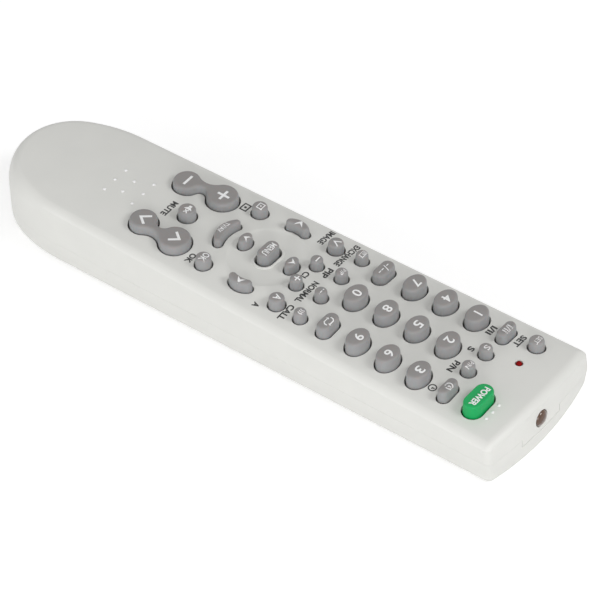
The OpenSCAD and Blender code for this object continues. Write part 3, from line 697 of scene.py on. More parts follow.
def case_walls(form):
    """Rings of the case from its underside to the rim of its face."""
    turns = [math.pi / 2 * k / BASE_STEPS for k in range(BASE_STEPS + 1)]
    rings = [lower_ring(form, a) for a in turns]
    z = form.parting
    rings.append(form.wall_ring((0, z), (-form.bulge, z), (0, z)))
    edge = upper_edge(form)
    inset = edge[-1][0] + form.bulge
    for k, pair in enumerate(edge):
        t = math.pi / 2 * k / (len(edge) - 1)
        tail = (inset * (1 - math.cos(t)) - form.bulge, -form.tail_edge * (1 - math.sin(t)))
        ring = form.wall_ring(pair, tail, pair)
        rings.append([(x, y, form.top(x, y) + z) for x, y, z in ring])
    return rings


def case_solid(form):
    """Points and faces of the closed outer form of the case, whose face is a grid."""
    points, faces = loft(case_walls(form))
    faces.pop()
    half = form.half(upper_edge(form)[-1][0])
    rows, n = len(half) - 1, 2 * (len(half) - 1)
    first, grid = len(points) - n, len(points)
    for x, y in half[1:rows]:
        for j in range(1, FACE_STEPS):
            u = -x * (1 - 2 * j / FACE_STEPS)
            points.append((u, y, form.top(u, y)))

    def at(i, j):
        if j == 0:
            return first + i
        if j == FACE_STEPS:
            return first + n - i
        return grid + (i - 1) * (FACE_STEPS - 1) + j - 1

    for j in range(FACE_STEPS):
        faces.append((first, at(1, j), at(1, j + 1)))
        faces.append((at(rows - 1, j), first + rows, at(rows - 1, j + 1)))
        for i in range(1, rows - 1):
            faces.append((at(i, j), at(i + 1, j), at(i + 1, j + 1), at(i, j + 1)))
    return points, faces


def tongue_root(form):
    """Where the tongue around the emitter begins."""
    return form.front - form.wall - TONGUE_ROOT


def tongue_block(form, gap):
    """The tongue around the emitter, widened by gap."""
    side = form.tongue + gap
    left, right, low = EMITTER_X - side, EMITTER_X + side, form.tongue_low - gap
    return block(left, right, tongue_root(form), FAR, low, form.parting + PAST)


def hollow_solid(form):
    """Space between the shells under the flat ceiling of the face."""
    plan = form.ring(form.wall + form.draft)
    roof = [(form.plane @ Vector((x, y, 0)))[2] for x, y in plan]
    ceiling = [(x, y, z - form.face) for (x, y), z in zip(plan, roof)]
    return loft([lifted(plan, form.wall), ceiling])


def rim_rings(radius):
    """Widths and heights of the rings of a rounded rim."""
    turns = [math.radians(a) for a in RIM_TURN]
    return [(radius * (1 - math.cos(t)), -radius * (1 - math.sin(t))) for t in turns]


def hole_cutter(form, key):
    """Cutter for a key hole with a rounded rim that follows the face."""
    levels = [(0, -form.face - PAST, 0), (0, -form.rim, 1)]
    levels += [(-wide, z, 1) for wide, z in rim_rings(form.rim)]
    levels += [(-form.rim, RIM_OPEN, 1), (-form.rim, REACH, 0)]
    rings = []
    menu = key.name == "key_menu"
    for d, z, follow in levels:
        ring = []
        for x, y in key.plan(d - MENU_GAP if menu else d):
            base = -form.sag(x) if menu else skin(form, x, y)
            ring.append((x, y, z + follow * base))
        rings.append(form.on_face(ring))
    return loft(rings)


def dish_cutter(form):
    """Cutter for the shallow dish around the menu key."""
    rings = []
    for k in range(1, DISH_RINGS + 1):
        r = (DISH_RADIUS + DISH_PAST) * math.sin(math.pi / 2 * k / DISH_RINGS)
        rise = DISH_LIFT if k == DISH_RINGS else 0
        circle = arc((0, MENU_Y), r, 0, 360, DISH_STEPS)[:-1]
        rings.append(form.on_face([(x, y, skin(form, x, y) + rise) for x, y in circle]))
    rings.append(form.on_face(lifted(circle, REACH)))
    return loft(rings)


def collar_solid(form):
    """Collar that rises from the dish around the menu key."""
    plan = long_outline(MENU_SIZE)
    levels = [(-COLLAR - flare, -deep) for flare, deep in COLLAR_FOOT]
    for a in range(0, 91, 15):
        t = math.radians(a)
        inset, drop = 1 - math.cos(t), 1 - math.sin(t)
        levels.append((-COLLAR + COLLAR_EDGE * inset, -COLLAR_EDGE * drop))
    rings = []
    for d, z in levels:
        rings.append(form.on_face([(x, y + MENU_Y, z - form.sag(x)) for x, y in plan(d)]))
    return loft(rings)


def emitter_cutter(form):
    """Cutter for the round hole in the front, with a rounded rim."""
    wide = EMITTER_HOLE + EMITTER_RIM
    profile = [(EMITTER_HOLE, -EMITTER_DEEP), (EMITTER_HOLE, -EMITTER_RIM)]
    profile += [(EMITTER_HOLE + more, z) for more, z in rim_rings(EMITTER_RIM)]
    profile += [(wide, EMITTER_RIM), (wide, REACH)]
    points, faces = lathe(profile, steps=64)
    return towards_front(points, form.front, EMITTER_Z), faces


def towards_front(points, y0, z0, x0=EMITTER_X):
    """Points about Z, turned so that they look out of the front, and moved."""
    return [(x0 + x, y0 + z, z0 - y) for x, y, z in points]


class RemoteTopShell(bpy.types.Operator):
    """Upper shell: crowned face, soft edge, key holes, dish and collar"""

    bl_idname = "remote.top_shell"
    bl_label = "Upper shell"

    def execute(self, context):
        form = case_form(context)
        piece = new_object("upper_shell", mesh_from("upper_shell", *case_solid(form)))
        split = tongue_root(form)
        carve(piece, block(-FAR, FAR, -FAR, split, -FAR, form.parting))
        for side in (-1, 1):
            inner, outer = sorted((EMITTER_X + side * form.tongue, side * FAR))
            carve(piece, block(inner, outer, split - PAST, FAR, -FAR, form.parting))
        carve(piece, block(-FAR, FAR, split - PAST, FAR, -FAR, form.tongue_low))
        carve(piece, hollow_solid(form))
        carve(piece, dish_cutter(form))
        carve(piece, collar_solid(form), "UNION")
        holes = [hole_cutter(form, key) for key in all_keys(context)]
        holes.append(hole_cutter(form, LAMP_HOLE))
        carve(piece, join(*holes))
        carve(piece, emitter_cutter(form))
        finish_shape(piece)
        settle(piece, outside(context, "case_plastic"), "case", "case_pale", "top_shell")
        return {"FINISHED"}


# Battery cover: half width and thickness of its plate, gap around it, width of its rails,
# height of the lips under them, and its length in front of the bay
COVER_HALF = 13.6
COVER_THICK = 1.5
COVER_GAP = 0.3
COVER_RAIL = 1.0
COVER_LIP = 0.75
COVER_OVER = 3
# Battery bay: half width, length, distance from the tail, walls, height inside, roof, walls
# beside and over the cover's rails, and how far its parts reach into each other
BAY_HALF = 11.45
BAY_LONG = 51.0
BAY_ROOM = 10.0
BAY_WALL = 1.2
BAY_HIGH = 12.6
BAY_ROOF = 0.6
RAIL_WALL = 1.5
RAIL_ROOF = 1.4
OVERLAP = 0.1


def bay_ends(form):
    """Tail end and front end of the battery bay."""
    tail = BAY_ROOM - form.front
    return tail, tail + BAY_LONG


def cover_path(form, gap):
    """Two blocks that make the T-shaped path of the battery cover, widened by gap."""
    end = bay_ends(form)[1] + COVER_OVER + gap
    half, top = COVER_HALF + gap, COVER_THICK + gap
    low = COVER_LIP + COVER_GAP - gap
    return (
        block(-half, half, -FAR, end, -PAST, top),
        block(-half - COVER_RAIL, half + COVER_RAIL, -FAR, end, low, top),
    )


class RemoteBottomShell(bpy.types.Operator):
    """Lower shell: soft lower edge, seam groove, battery bay and cover rails"""

    bl_idname = "remote.bottom_shell"
    bl_label = "Lower shell"

    def execute(self, context):
        form = case_form(context)
        piece = new_object("lower_shell", mesh_from("lower_shell", *case_solid(form)))
        carve(piece, block(-FAR, FAR, -FAR, FAR, form.parting, FAR))
        carve(piece, hollow_solid(form))
        carve(piece, tongue_block(form, form.seam))
        self.groove(form, piece)
        self.bay(form, piece)
        finish_shape(piece)
        settle(piece, outside(context, "case_plastic"), "case", "case_pale", "bottom_shell")
        return {"FINISHED"}

    def groove(self, form, piece):
        """Steps the wall back along the parting line."""
        low, high = form.parting - form.joint, form.parting + PAST
        outer = [lifted(form.ring(-REACH), z) for z in (low, high)]
        inner = []
        for z in (low - PAST, high + PAST):
            side = (form.joint, z)
            inner.append(form.wall_ring(side, (form.joint - form.bulge, z), side))
        band = new_object("band", mesh_from("band", *loft(outer)))
        carve(band, loft(inner))
        carve(piece, taken(band))

    def bay(self, form, piece):
        """Adds the bay and opens it and the cover's rails to the underside."""
        tail, front = bay_ends(form)
        side = COVER_HALF + COVER_RAIL + RAIL_WALL
        end, low = front + COVER_OVER + RAIL_WALL, form.wall / 2
        high = COVER_THICK + COVER_GAP + RAIL_ROOF
        floor = new_object("floor", mesh_from("floor", *case_solid(form)))
        carve(floor, block(-side, side, -FAR, end, low, high), "INTERSECT")
        carve(piece, taken(floor), "UNION")
        wide, back, ahead = BAY_HALF + BAY_WALL, tail - BAY_WALL, front + BAY_WALL
        walls = block(-wide, wide, back, ahead, low + OVERLAP, BAY_HIGH + BAY_ROOF)
        carve(piece, walls, "UNION")
        for path in cover_path(form, COVER_GAP):
            carve(piece, path)
        carve(piece, block(-BAY_HALF, BAY_HALF, tail, front, low - OVERLAP, BAY_HIGH))


class RemoteBatteryCover(bpy.types.Operator):
    """Sliding battery cover with finger grooves"""

    bl_idname = "remote.battery_cover"
    bl_label = "Battery cover"

    grooves = 5
    groove_from = 7.6
    groove_pitch = 1.6
    groove_half = 6.0
    groove_deep = 0.5
    groove_slope = (0.3, 0.2)
    groove_below = 0.05

    def execute(self, context):
        form = case_form(context)
        piece = new_object("cover", mesh_from("cover", *case_solid(form)))
        flat, rail = cover_path(form, 0)
        path = new_object("path", mesh_from("path", *flat))
        carve(path, rail, "UNION")
        carve(piece, taken(path), "INTERSECT")
        first = bay_ends(form)[1] + COVER_OVER - self.groove_from
        for k in range(self.grooves):
            carve(piece, self.groove(first - self.groove_pitch * k))
        finish_shape(piece)
        settle(piece, outside(context, "case_plastic"), "battery_cover", "case_pale", "battery_cover")
        return {"FINISHED"}

    def groove(self, y):
        """Cutter for a groove across the cover that narrows upwards."""
        half, side = self.groove_half, self.groove_pitch / 4
        along, across = self.groove_slope
        foot = rectangle(-half, half, y - side - across, y + side + across)
        top = rectangle(along - half, half - along, y - side, y + side)
        return loft([lifted(foot, -self.groove_below), lifted(top, self.groove_deep)])


# Keys

# Places of the keys and the lamp on the face, with the outlines that several share
POWER_X = 12.95
POWER_Y = 80.5
MODE_X = (4.3, 14.4)
MODE_Y = 71.0
DIGIT_Y = 50.1
DIGIT_ROW = 10.8
DIGIT_COLUMN = 14.1
DIGIT_FAN = 0.2
DIGIT = oval_outline(4.73, 3.69)
ZERO_Y = DIGIT_Y - 2 * DIGIT_ROW
ENTRY_X = DIGIT_COLUMN - 0.5
PICTURE_Y = 19.7
PICTURE_X = 5.0
ADJUST_X = 14.35
ADJUST_Y = 10.8
MENU_Y = -3.1
MENU_SIZE = (9.0, 5.4)
OK_X = 13.57
OK_Y = -16.4
MUTE = (0.6, -32.4)
ROCKER = (10.85, -35.0)
LAMP = (-7.3, 80.4)


class Key(NamedTuple):
    """A key: node name, shape, place on the face, height over the face, rounding of its edge,
    slope of its top at the edge in degrees, and turn in plan."""

    name: str
    outline: object
    x: float
    y: float
    high: float
    edge: float
    fall: float = 5
    turn: float = 0

    def plan(self, d):
        """Outline inset by d, in its place on the face."""
        c, s = math.cos(self.turn), math.sin(self.turn)
        shape = self.outline(d)
        return [(self.x + c * x - s * y, self.y + s * x + c * y) for x, y in shape]


LAMP_HOLE = Key("lamp_hole", round_outline(1.2), *LAMP, 0, 0)


def all_keys(context):
    """Every key of the face."""
    sizes = context.scene.remote_keys
    # Height, rounding and, where it isn't the usual one, slope of each kind
    power = (sizes.power / MM, sizes.power_edge / MM, 3)
    digit = (sizes.digit / MM, sizes.digit_edge / MM, 7)
    plain = (sizes.plain / MM, sizes.plain_edge / MM)
    arrow = (sizes.arrow / MM, sizes.plain_edge / MM)
    beside = (sizes.side / MM, sizes.side_edge / MM, 8)
    below = (sizes.source / MM, sizes.side_edge / MM, 6)
    rocker = (sizes.rocker / MM, sizes.rocker_edge / MM, 3)
    small, middle, dot = round_outline(2.42), round_outline(2.88), round_outline(2.54)
    mode, entry = long_outline((8.5, 4.5)), long_outline((9.1, 5.4))
    side, source = crescent_outline(6, 1.8, 6, 4.1), crescent_outline(8, 1.7, 11, 7.5)
    keys = [
        Key("key_power", long_outline((12.1, 6.8)), POWER_X, POWER_Y, *power),
        Key("key_set", round_outline(2.83), -15.9, POWER_Y, *plain),
        Key("key_sound", mode, -MODE_X[1], MODE_Y, *plain),
        Key("key_system", dot, -MODE_X[0], MODE_Y, *plain),
        Key("key_norm", dot, MODE_X[0], MODE_Y, *plain),
        Key("key_timer", mode, MODE_X[1], MODE_Y, *plain),
        Key("key_entry", entry, -ENTRY_X, ZERO_Y, *plain),
        Key("key_recall", entry, ENTRY_X, ZERO_Y, *plain),
        Key("key_image", middle, -ADJUST_X, ADJUST_Y, *plain),
        Key("key_minus", small, -PICTURE_X, ADJUST_Y, *plain),
        Key("key_plus", small, PICTURE_X, ADJUST_Y, *plain),
        Key("key_auto", middle, ADJUST_X, ADJUST_Y, *plain),
        Key("key_up", oval_outline(3.15, 2.35), -0.2, MENU_Y + 8.4, *arrow),
        Key("key_down", oval_outline(3.08, 2.3), -0.4, MENU_Y - 8.6, *arrow),
        Key("key_menu", long_outline(MENU_SIZE), 0, MENU_Y, *plain),
        Key("key_screen", middle, -OK_X, OK_Y, *plain),
        Key("key_ok", middle, OK_X, OK_Y, *plain),
        Key("key_mute", round_outline(3.2), *MUTE, *plain),
        Key("key_left", side, -10.85, MENU_Y + 0.2, *beside, math.pi),
        Key("key_right", side, 10.9, MENU_Y + 0.65, *beside),
        Key("key_source", source, 0, MENU_Y - 10.6, *below, -math.pi / 2),
    ]
    for i, name in enumerate(("swap", "pip", "normal", "call")):
        keys.append(Key(f"key_{name}", small, (2 * i - 3) * PICTURE_X, PICTURE_Y, *plain))
    for n in range(1, 10):
        column, row = (n - 1) % 3 - 1, 1 - (n - 1) // 3
        x = column * (DIGIT_COLUMN + DIGIT_FAN * row)
        keys.append(Key(f"key_{n}", DIGIT, x, DIGIT_Y + row * DIGIT_ROW, *digit))
    keys.append(Key("key_0", DIGIT, 0, ZERO_Y, *digit))
    keys.append(Key("volume_rocker", rocker_outline(-1), -ROCKER[0], ROCKER[1], *rocker))
    keys.append(Key("channel_rocker", rocker_outline(1), *ROCKER, *rocker))
    return keys


# Largest insets of the outlines that aren't convex, and what the other outlines keep
DEEPEST = {
    "key_left": 1.7,
    "key_right": 1.7,
    "key_source": 1.8,
    "volume_rocker": 1.9,
    "channel_rocker": 1.9,
}
CREST_LEAST = 0.05
# Least width of a key's dome, depth at which its foot starts, and steps along edge and dome
DOME_LEAST = 0.1
FOOT_TOP = 0.4
KEY_EDGE_STEPS = 10
DOME_STEPS = 6


def deepest_inset(key):
    """Largest inset at which the outline still closes."""
    if key.name in DEEPEST:
        return DEEPEST[key.name]
    ring = key.outline(0)
    return min(math.hypot(x, y) for x, y in ring) - CREST_LEAST


def key_solid(form, sizes, key):
    """Points and faces of a key whose edge runs smoothly into a domed top."""
    gap = sizes.gap / MM
    foot = gap + sizes.draft / MM
    deep = deepest_inset(key)
    edge = min(key.edge, deep - foot - DOME_LEAST)
    fall = math.radians(key.fall)
    start = foot + edge * (1 - math.sin(fall))
    dome = math.tan(fall) * (deep - start) / 2
    crest = key.high - form.sag(key.x)
    rim = crest - dome - edge * math.cos(fall)
    levels = [(gap, -sizes.foot / MM), (gap, -FOOT_TOP), (gap, 0)]
    for k in range(KEY_EDGE_STEPS + 1):
        t = (math.pi / 2 - fall) * k / KEY_EDGE_STEPS
        levels.append((foot + edge * (1 - math.cos(t)), rim + edge * math.sin(t)))
    for k in range(1, DOME_STEPS + 1):
        t = k / DOME_STEPS
        levels.append((start + (deep - start) * t, crest - dome * (1 - t) ** 2))
    return loft([form.on_face(lifted(key.plan(d), z)) for d, z in levels])


class RemoteKeys(bpy.types.Operator):
    """All keys, each riding on its own body"""

    bl_idname = "remote.keys"
    bl_label = "Keys"

    def execute(self, context):
        form = case_form(context)
        for key in all_keys(context):
            solid = key_solid(form, context.scene.remote_keys, key)
            piece = new_object(f"{key.name}_cap", mesh_from(key.name, *solid))
            finish_shape(piece, angle=50)
            power = key.name == "key_power"
            material = outside(context, "power_silicone" if power else "key_silicone")
            settle(piece, material, key.name, "key_green" if power else "key_grey", key.name)
        return {"FINISHED"}


# Legends and labels: flat shapes as lists of faces in millimetres about a centre

# Steps along a ring and a small disc, and the least share of a mitre
RING_STEPS = 28
DISC_STEPS = 16
MITRE_LEAST = 0.4


def stroke(points, width, closed=False):
    """Band of an even width along a line, with mitred bends."""
    n = len(points)
    pts = [Vector(p) for p in points]
    left, right = [], []
    for i, p in enumerate(pts):
        before = pts[i - 1] if closed or i else None
        after = pts[(i + 1) % n] if closed or i < n - 1 else None
        a = (p - before).normalized() if before is not None else (after - p).normalized()
        b = (after - p).normalized() if after is not None else a
        normal = Vector((-a.y - b.y, a.x + b.x)).normalized()
        reach = width / 2 / max(MITRE_LEAST, normal.dot(Vector((-a.y, a.x))))
        left.append(tuple(p + normal * reach))
        right.append(tuple(p - normal * reach))
    faces = []
    for i in range(n if closed else n - 1):
        j = (i + 1) % n
        faces.append([right[i], right[j], left[j], left[i]])
    return faces


def ring_sign(radius, width, start=0, end=360):
    """Ring or part of one."""
    whole = end - start >= 360
    points = arc((0, 0), radius, start, end, RING_STEPS)
    return stroke(points[:-1] if whole else points, width, whole)


def frame_sign(wide, high, width):
    """Hollow rectangle."""
    x, y = wide / 2, high / 2
    return stroke(rectangle(-x, x, -y, y), width, True)


def disc_sign(x, y, radius):
    """Small filled disc."""
    return [arc((x, y), radius, 0, 360, DISC_STEPS)[:-1]]


def moved(faces, x=0, y=0, turn=0):
    """Faces turned by degrees and then moved."""
    c, s = math.cos(math.radians(turn)), math.sin(math.radians(turn))
    return [[(x + c * u - s * v, y + s * u + c * v) for u, v in face] for face in faces]


def minus_sign(size, width):
    """Bar."""
    return stroke([(-size / 2, 0), (size / 2, 0)], width)


def plus_sign(size, width):
    """Cross of two bars that meet without overlapping."""
    faces = minus_sign(size, width)
    for side in (-1, 1):
        faces += stroke([(0, side * width / 2), (0, side * size / 2)], width)
    return faces


def chevron_sign(wide, high, width):
    """Open arrow that points up."""
    return stroke([(-wide / 2, -high / 2), (0, high / 2), (wide / 2, -high / 2)], width)


def dart_sign(wide, high):
    """Notched arrowhead that points up."""
    notch = -0.1 * high
    return [
        [(0, high / 2), (-wide / 2, -high / 2), (0, notch)],
        [(0, high / 2), (0, notch), (wide / 2, -high / 2)],
    ]


def clock_sign(radius, width, start=0, end=360):
    """Clock face with two hands."""
    hands = stroke([(0, radius * 0.62), (0, 0), (radius * 0.45, 0)], width)
    return ring_sign(radius, width, start, end) + hands


def screen_sign(wide, high, width):
    """Screen with a dot in it."""
    return frame_sign(wide, high, width) + disc_sign(0, 0, width * 0.95)


def mute_sign(size):
    """Loudspeaker with a cross."""
    s = size / 2
    box = rectangle(-s, -0.5 * s, -0.3 * s, 0.3 * s)
    horn = [(-0.45, -0.32), (0.1, -0.85), (0.1, 0.85), (-0.45, 0.32)]
    faces = [box, [(s * x, s * y) for x, y in horn]]
    return faces + moved(plus_sign(1.1 * s, 0.2 * s), 0.62 * s, 0, 45)


def recall_sign(wide, high, width):
    """Two angular arrows that chase each other round a loop."""
    x, y = wide / 2, high / 2
    bend = stroke([(-x, -0.55 * y), (-x, 0.35 * y), (-0.6 * x, y), (0.35 * x, y)], width)
    tip = 1.7 * width
    head = [[(0.4 * x, y - tip), (0.4 * x + tip, y), (0.4 * x, y + tip)]]
    return bend + head + moved(bend + head, turn=180)


def swap_sign(wide, high, width):
    """Small picture in a larger one."""
    inner = moved(frame_sign(wide * 0.35, high * 0.35, width * 0.8), -wide * 0.12, high * 0.08)
    return frame_sign(wide, high, width) + inner


def waves_sign(size, width):
    """Three arcs in a row."""
    faces = []
    for k in (-1, 0, 1):
        faces += moved(ring_sign(size * 0.4, width, -55, 55), size * (0.3 * k - 0.3))
    return faces


def text_faces(words, high, wide=None, weight=0.02):
    """Faces of a line of text with a cap height and, if given, a width in millimetres."""
    curve = bpy.data.curves.new("words", "FONT")
    curve.body = words
    curve.align_x = "CENTER"
    curve.resolution_u = 4
    curve.offset = weight
    line = new_object("words", curve)
    graph = bpy.context.evaluated_depsgraph_get()
    mesh = bpy.data.meshes.new_from_object(line.evaluated_get(graph), depsgraph=graph)
    points = [v.co.xy for v in mesh.vertices]
    faces = [[points[i] for i in f.vertices] for f in mesh.polygons]
    bpy.data.objects.remove(line)
    bpy.data.curves.remove(curve)
    bpy.data.meshes.remove(mesh)
    x0, x1 = min(p.x for p in points), max(p.x for p in points)
    y0, y1 = min(p.y for p in points), max(p.y for p in points)
    tall = high / (y1 - y0)
    broad = wide / (x1 - x0) if wide else tall
    xm, ym = (x0 + x1) / 2, (y0 + y1) / 2
    return [[((p.x - xm) * broad, (p.y - ym) * tall) for p in face] for face in faces]


# Print: height over and depth under its surface, pitch of the grid that lets it follow a dome,
# height over the face from which it is laid down, and distance at which points become one
INK = 0.03
INK_ROOT = 0.05
LEGEND_PITCH = 0.45
PRINT_FROM = 8
PRINT_WELD = 1e-4
PRINT_CUT = 1e-5


def slice_flat(bm, pitch):
    """Cuts flat faces along a square grid, so that they can follow a dome."""
    for axis in (0, 1):
        low = min(v.co[axis] for v in bm.verts)
        high = max(v.co[axis] for v in bm.verts)
        normal = (1 - axis, axis, 0)
        for k in range(1, math.ceil((high - low) / pitch)):
            at = low + k * pitch
            geometry = bm.verts[:] + bm.edges[:] + bm.faces[:]
            point = (at * (1 - axis), at * axis, 0)
            bmesh.ops.bisect_plane(
                bm, geom=geometry, dist=PRINT_CUT, plane_co=point, plane_no=normal
            )


def print_on(form, name, faces, under, pitch=None):
    """Thin closed print of flat faces, laid on the piece under it."""
    bm = bmesh.new()
    for face in faces:
        bm.faces.new([bm.verts.new((x, y, 0)) for x, y in face])
    bmesh.ops.remove_doubles(bm, verts=bm.verts, dist=PRINT_WELD)
    if pitch:
        slice_flat(bm, pitch)
    upper = bmesh.ops.extrude_face_region(bm, geom=bm.faces[:])["geom"]
    raised = {v for v in upper if isinstance(v, bmesh.types.BMVert)}
    tree = BVHTree.FromPolygons(
        [v.co for v in under.data.vertices], [p.vertices for p in under.data.polygons]
    )
    normal = (form.plane.to_3x3() @ Vector((0, 0, 1))).normalized()
    for v in bm.verts:
        start = (form.plane @ Vector((v.co.x, v.co.y, PRINT_FROM))) * MM
        hit = tree.ray_cast(start, -normal)[0]
        if hit is None:
            raise RuntimeError(f"{name} reaches past {under.name}")
        v.co = hit + normal * MM * (INK if v in raised else -INK_ROOT)
    bmesh.ops.recalc_face_normals(bm, faces=bm.faces)
    mesh = bpy.data.meshes.new(name)
    bm.to_mesh(mesh)
    bm.free()
    return new_object(name, mesh)


# Legends sit a little off the middle of their keys, towards the infrared end.
LEGEND_SHIFT = (0.2, 0.5)
SIGN_KEYS = ("set", "sound", "system", "norm", "timer", "swap", "pip", "normal", "call")
# Words on the keys, with their height, width and weight
KEY_WORDS = {
    "key_1": ("1", 3.0, None, 0.016),
    "key_power": ("POWER", 2.05, 8.3, 0.03),
    "key_set": ("SET", 1.5, 2.9, 0.01),
    "key_sound": ("I/II", 1.9, 3.0, 0.01),
    "key_system": ("S", 1.9, 1.5, 0.015),
    "key_norm": ("P/N", 1.5, 2.75, 0.01),
    "key_entry": ("-/--", 2.3, 4.6, 0),
    "key_pip": ("P/P", 1.3, 2.2, 0.01),
    "key_auto": ("A", 2.2, 2.1),
    "key_menu": ("MENU", 2.0, 5.3, 0.01),
    "key_source": ("TV/AV", 1.7, 4.6, 0.01),
    "key_ok": ("OK", 2.1, 3.4, 0.012),
}


def key_legends():
    """Legend of each key, about its centre."""
    legends = {f"key_{n}": text_faces(str(n), 3.0, 2.2, 0.016) for n in range(10)}
    legends.update({name: text_faces(*word) for name, word in KEY_WORDS.items()})
    legends["key_source"] = moved(legends["key_source"], -0.2, -6.3)
    up, down = ROCKER_UP, ROCKER_DOWN
    thin, thick, bold = 0.34, 0.4, 0.8
    small, large, wide = dart_sign(2.5, 1.9), dart_sign(2.8, 2.3), chevron_sign(4.1, 2.6, bold)
    legends.update(
        key_timer=clock_sign(1.1, thin, -20, 300),
        key_recall=recall_sign(3.2, 1.9, 0.33),
        key_swap=swap_sign(2.1, 1.35, 0.22),
        key_normal=moved(minus_sign(1.3, thin), 0.6) + moved(minus_sign(0.5, thin), -0.75),
        key_call=waves_sign(2.2, 0.3),
        key_image=moved(chevron_sign(2.1, 1.9, thick), turn=180),
        key_minus=minus_sign(2, thick),
        key_plus=plus_sign(2, thick),
        key_up=small,
        key_down=moved(small, turn=180),
        key_left=moved(large, -4.05, 0, 90),
        key_right=moved(large, 4.0, 0, -90),
        key_screen=screen_sign(2.1, 1.7, 0.28),
        key_mute=mute_sign(3.2),
        volume_rocker=moved(plus_sign(4.1, bold), -up.x, up.y)
        + moved(minus_sign(4.2, bold), -down.x, down.y),
        channel_rocker=moved(wide, up.x, up.y) + moved(wide, down.x, down.y, 180),
    )
    return legends


class RemoteLegends(bpy.types.Operator):
    """White print on the key tops"""

    bl_idname = "remote.legends"
    bl_label = "Key legends"

    def execute(self, context):
        form = case_form(context)
        legends = key_legends()
        for key in all_keys(context):
            x, y = key.x + LEGEND_SHIFT[0], key.y + LEGEND_SHIFT[1]
            under = bpy.data.objects[f"{key.name}_cap"]
            faces = moved(legends[key.name], x, y)
            piece = print_on(form, f"{key.name}_legend", faces, under, LEGEND_PITCH)
            small = key.name.removeprefix("key_") in SIGN_KEYS
            ink = outside(context, "sign_ink" if small else "legend_ink")
            settle(piece, ink, key.name, "key_grey")
        return {"FINISHED"}


# Words on the face, with their places and widths, and the height and weight of them all
FACE_WORDS = (
    ("SET", -15.2, 75.2, 5.3),
    ("I/II", -13.9, 66.25, 3.9),
    ("S", -3.8, 66.25, 1.75),
    ("P/N", 4.84, 66.25, 4.6),
    ("EXCHANGE", -14.4, 14.8, 11.1),
    ("PIP", -4.56, 14.8, 4.4),
    ("NORMAL", 5.2, 14.8, 9.8),
    ("CALL", 15.2, 14.8, 6.5),
    ("C!", -0.2, 10.2, 2.6),
    ("IMAGE", -17.2, 5.25, 6.9),
    ("A", 17.7, 5.8, 1.75),
    ("OK", 13.7, -21.05, 3.9),
    ("MUTE", 0.9, -38.9, 6.6),
)
WORD_HIGH = 2.05
WORD_WEIGHT = 0.035


def face_labels():
    """Faces of the black print on the case."""
    faces = []
    for text, x, y, wide in FACE_WORDS:
        faces += moved(text_faces(text, WORD_HIGH, wide, WORD_WEIGHT), x, y)
    faces += moved(clock_sign(1.15, 0.38), 15, 66.2)
    return faces + moved(screen_sign(2.9, 2.1, 0.45), -13.25, -21.5)


class RemoteLabels(bpy.types.Operator):
    """Black print on the face"""

    bl_idname = "remote.labels"
    bl_label = "Face labels"

    def execute(self, context):
        form = case_form(context)
        shell = bpy.data.objects["upper_shell"]
        piece = print_on(form, "face_labels", face_labels(), shell)
        settle(piece, outside(context, "label_ink"), "case", "case_pale")
        return {"FINISHED"}


# Raised dots


def dots_tree(material, tilt):
    """Geometry nodes that set a low dome on every point."""
    tree = bpy.data.node_groups.new("raised_dots", "GeometryNodeTree")
    for name, way, kind in (
        ("Geometry", "INPUT", "NodeSocketGeometry"),
        ("Dot radius", "INPUT", "NodeSocketFloat"),
        ("Dot height", "INPUT", "NodeSocketFloat"),
        ("Geometry", "OUTPUT", "NodeSocketGeometry"),
    ):
        tree.interface.new_socket(name, in_out=way, socket_type=kind)
    new, link = tree.nodes.new, tree.links.new
    start, end = new("NodeGroupInput"), new("NodeGroupOutput")
    dome = new("GeometryNodeMeshUVSphere")
    dome.inputs["Segments"].default_value = 20
    dome.inputs["Rings"].default_value = 10
    dome.inputs["Radius"].default_value = 1
    scale = new("ShaderNodeCombineXYZ")
    link(start.outputs["Dot radius"], scale.inputs["X"])
    link(start.outputs["Dot radius"], scale.inputs["Y"])
    link(start.outputs["Dot height"], scale.inputs["Z"])
    spread = new("GeometryNodeInstanceOnPoints")
    spread.inputs["Rotation"].default_value = (-tilt, 0, 0)
    link(start.outputs["Geometry"], spread.inputs["Points"])
    link(dome.outputs["Mesh"], spread.inputs["Instance"])
    link(scale.outputs["Vector"], spread.inputs["Scale"])
    solid = new("GeometryNodeRealizeInstances")
    link(spread.outputs["Instances"], solid.inputs["Geometry"])
    shade = new("GeometryNodeSetShadeSmooth")
    link(solid.outputs["Geometry"], shade.inputs["Geometry"])
    paint = new("GeometryNodeSetMaterial")
    paint.inputs["Material"].default_value = material
    link(shade.outputs["Geometry"], paint.inputs["Geometry"])
    link(paint.outputs["Geometry"], end.inputs["Geometry"])
    return tree


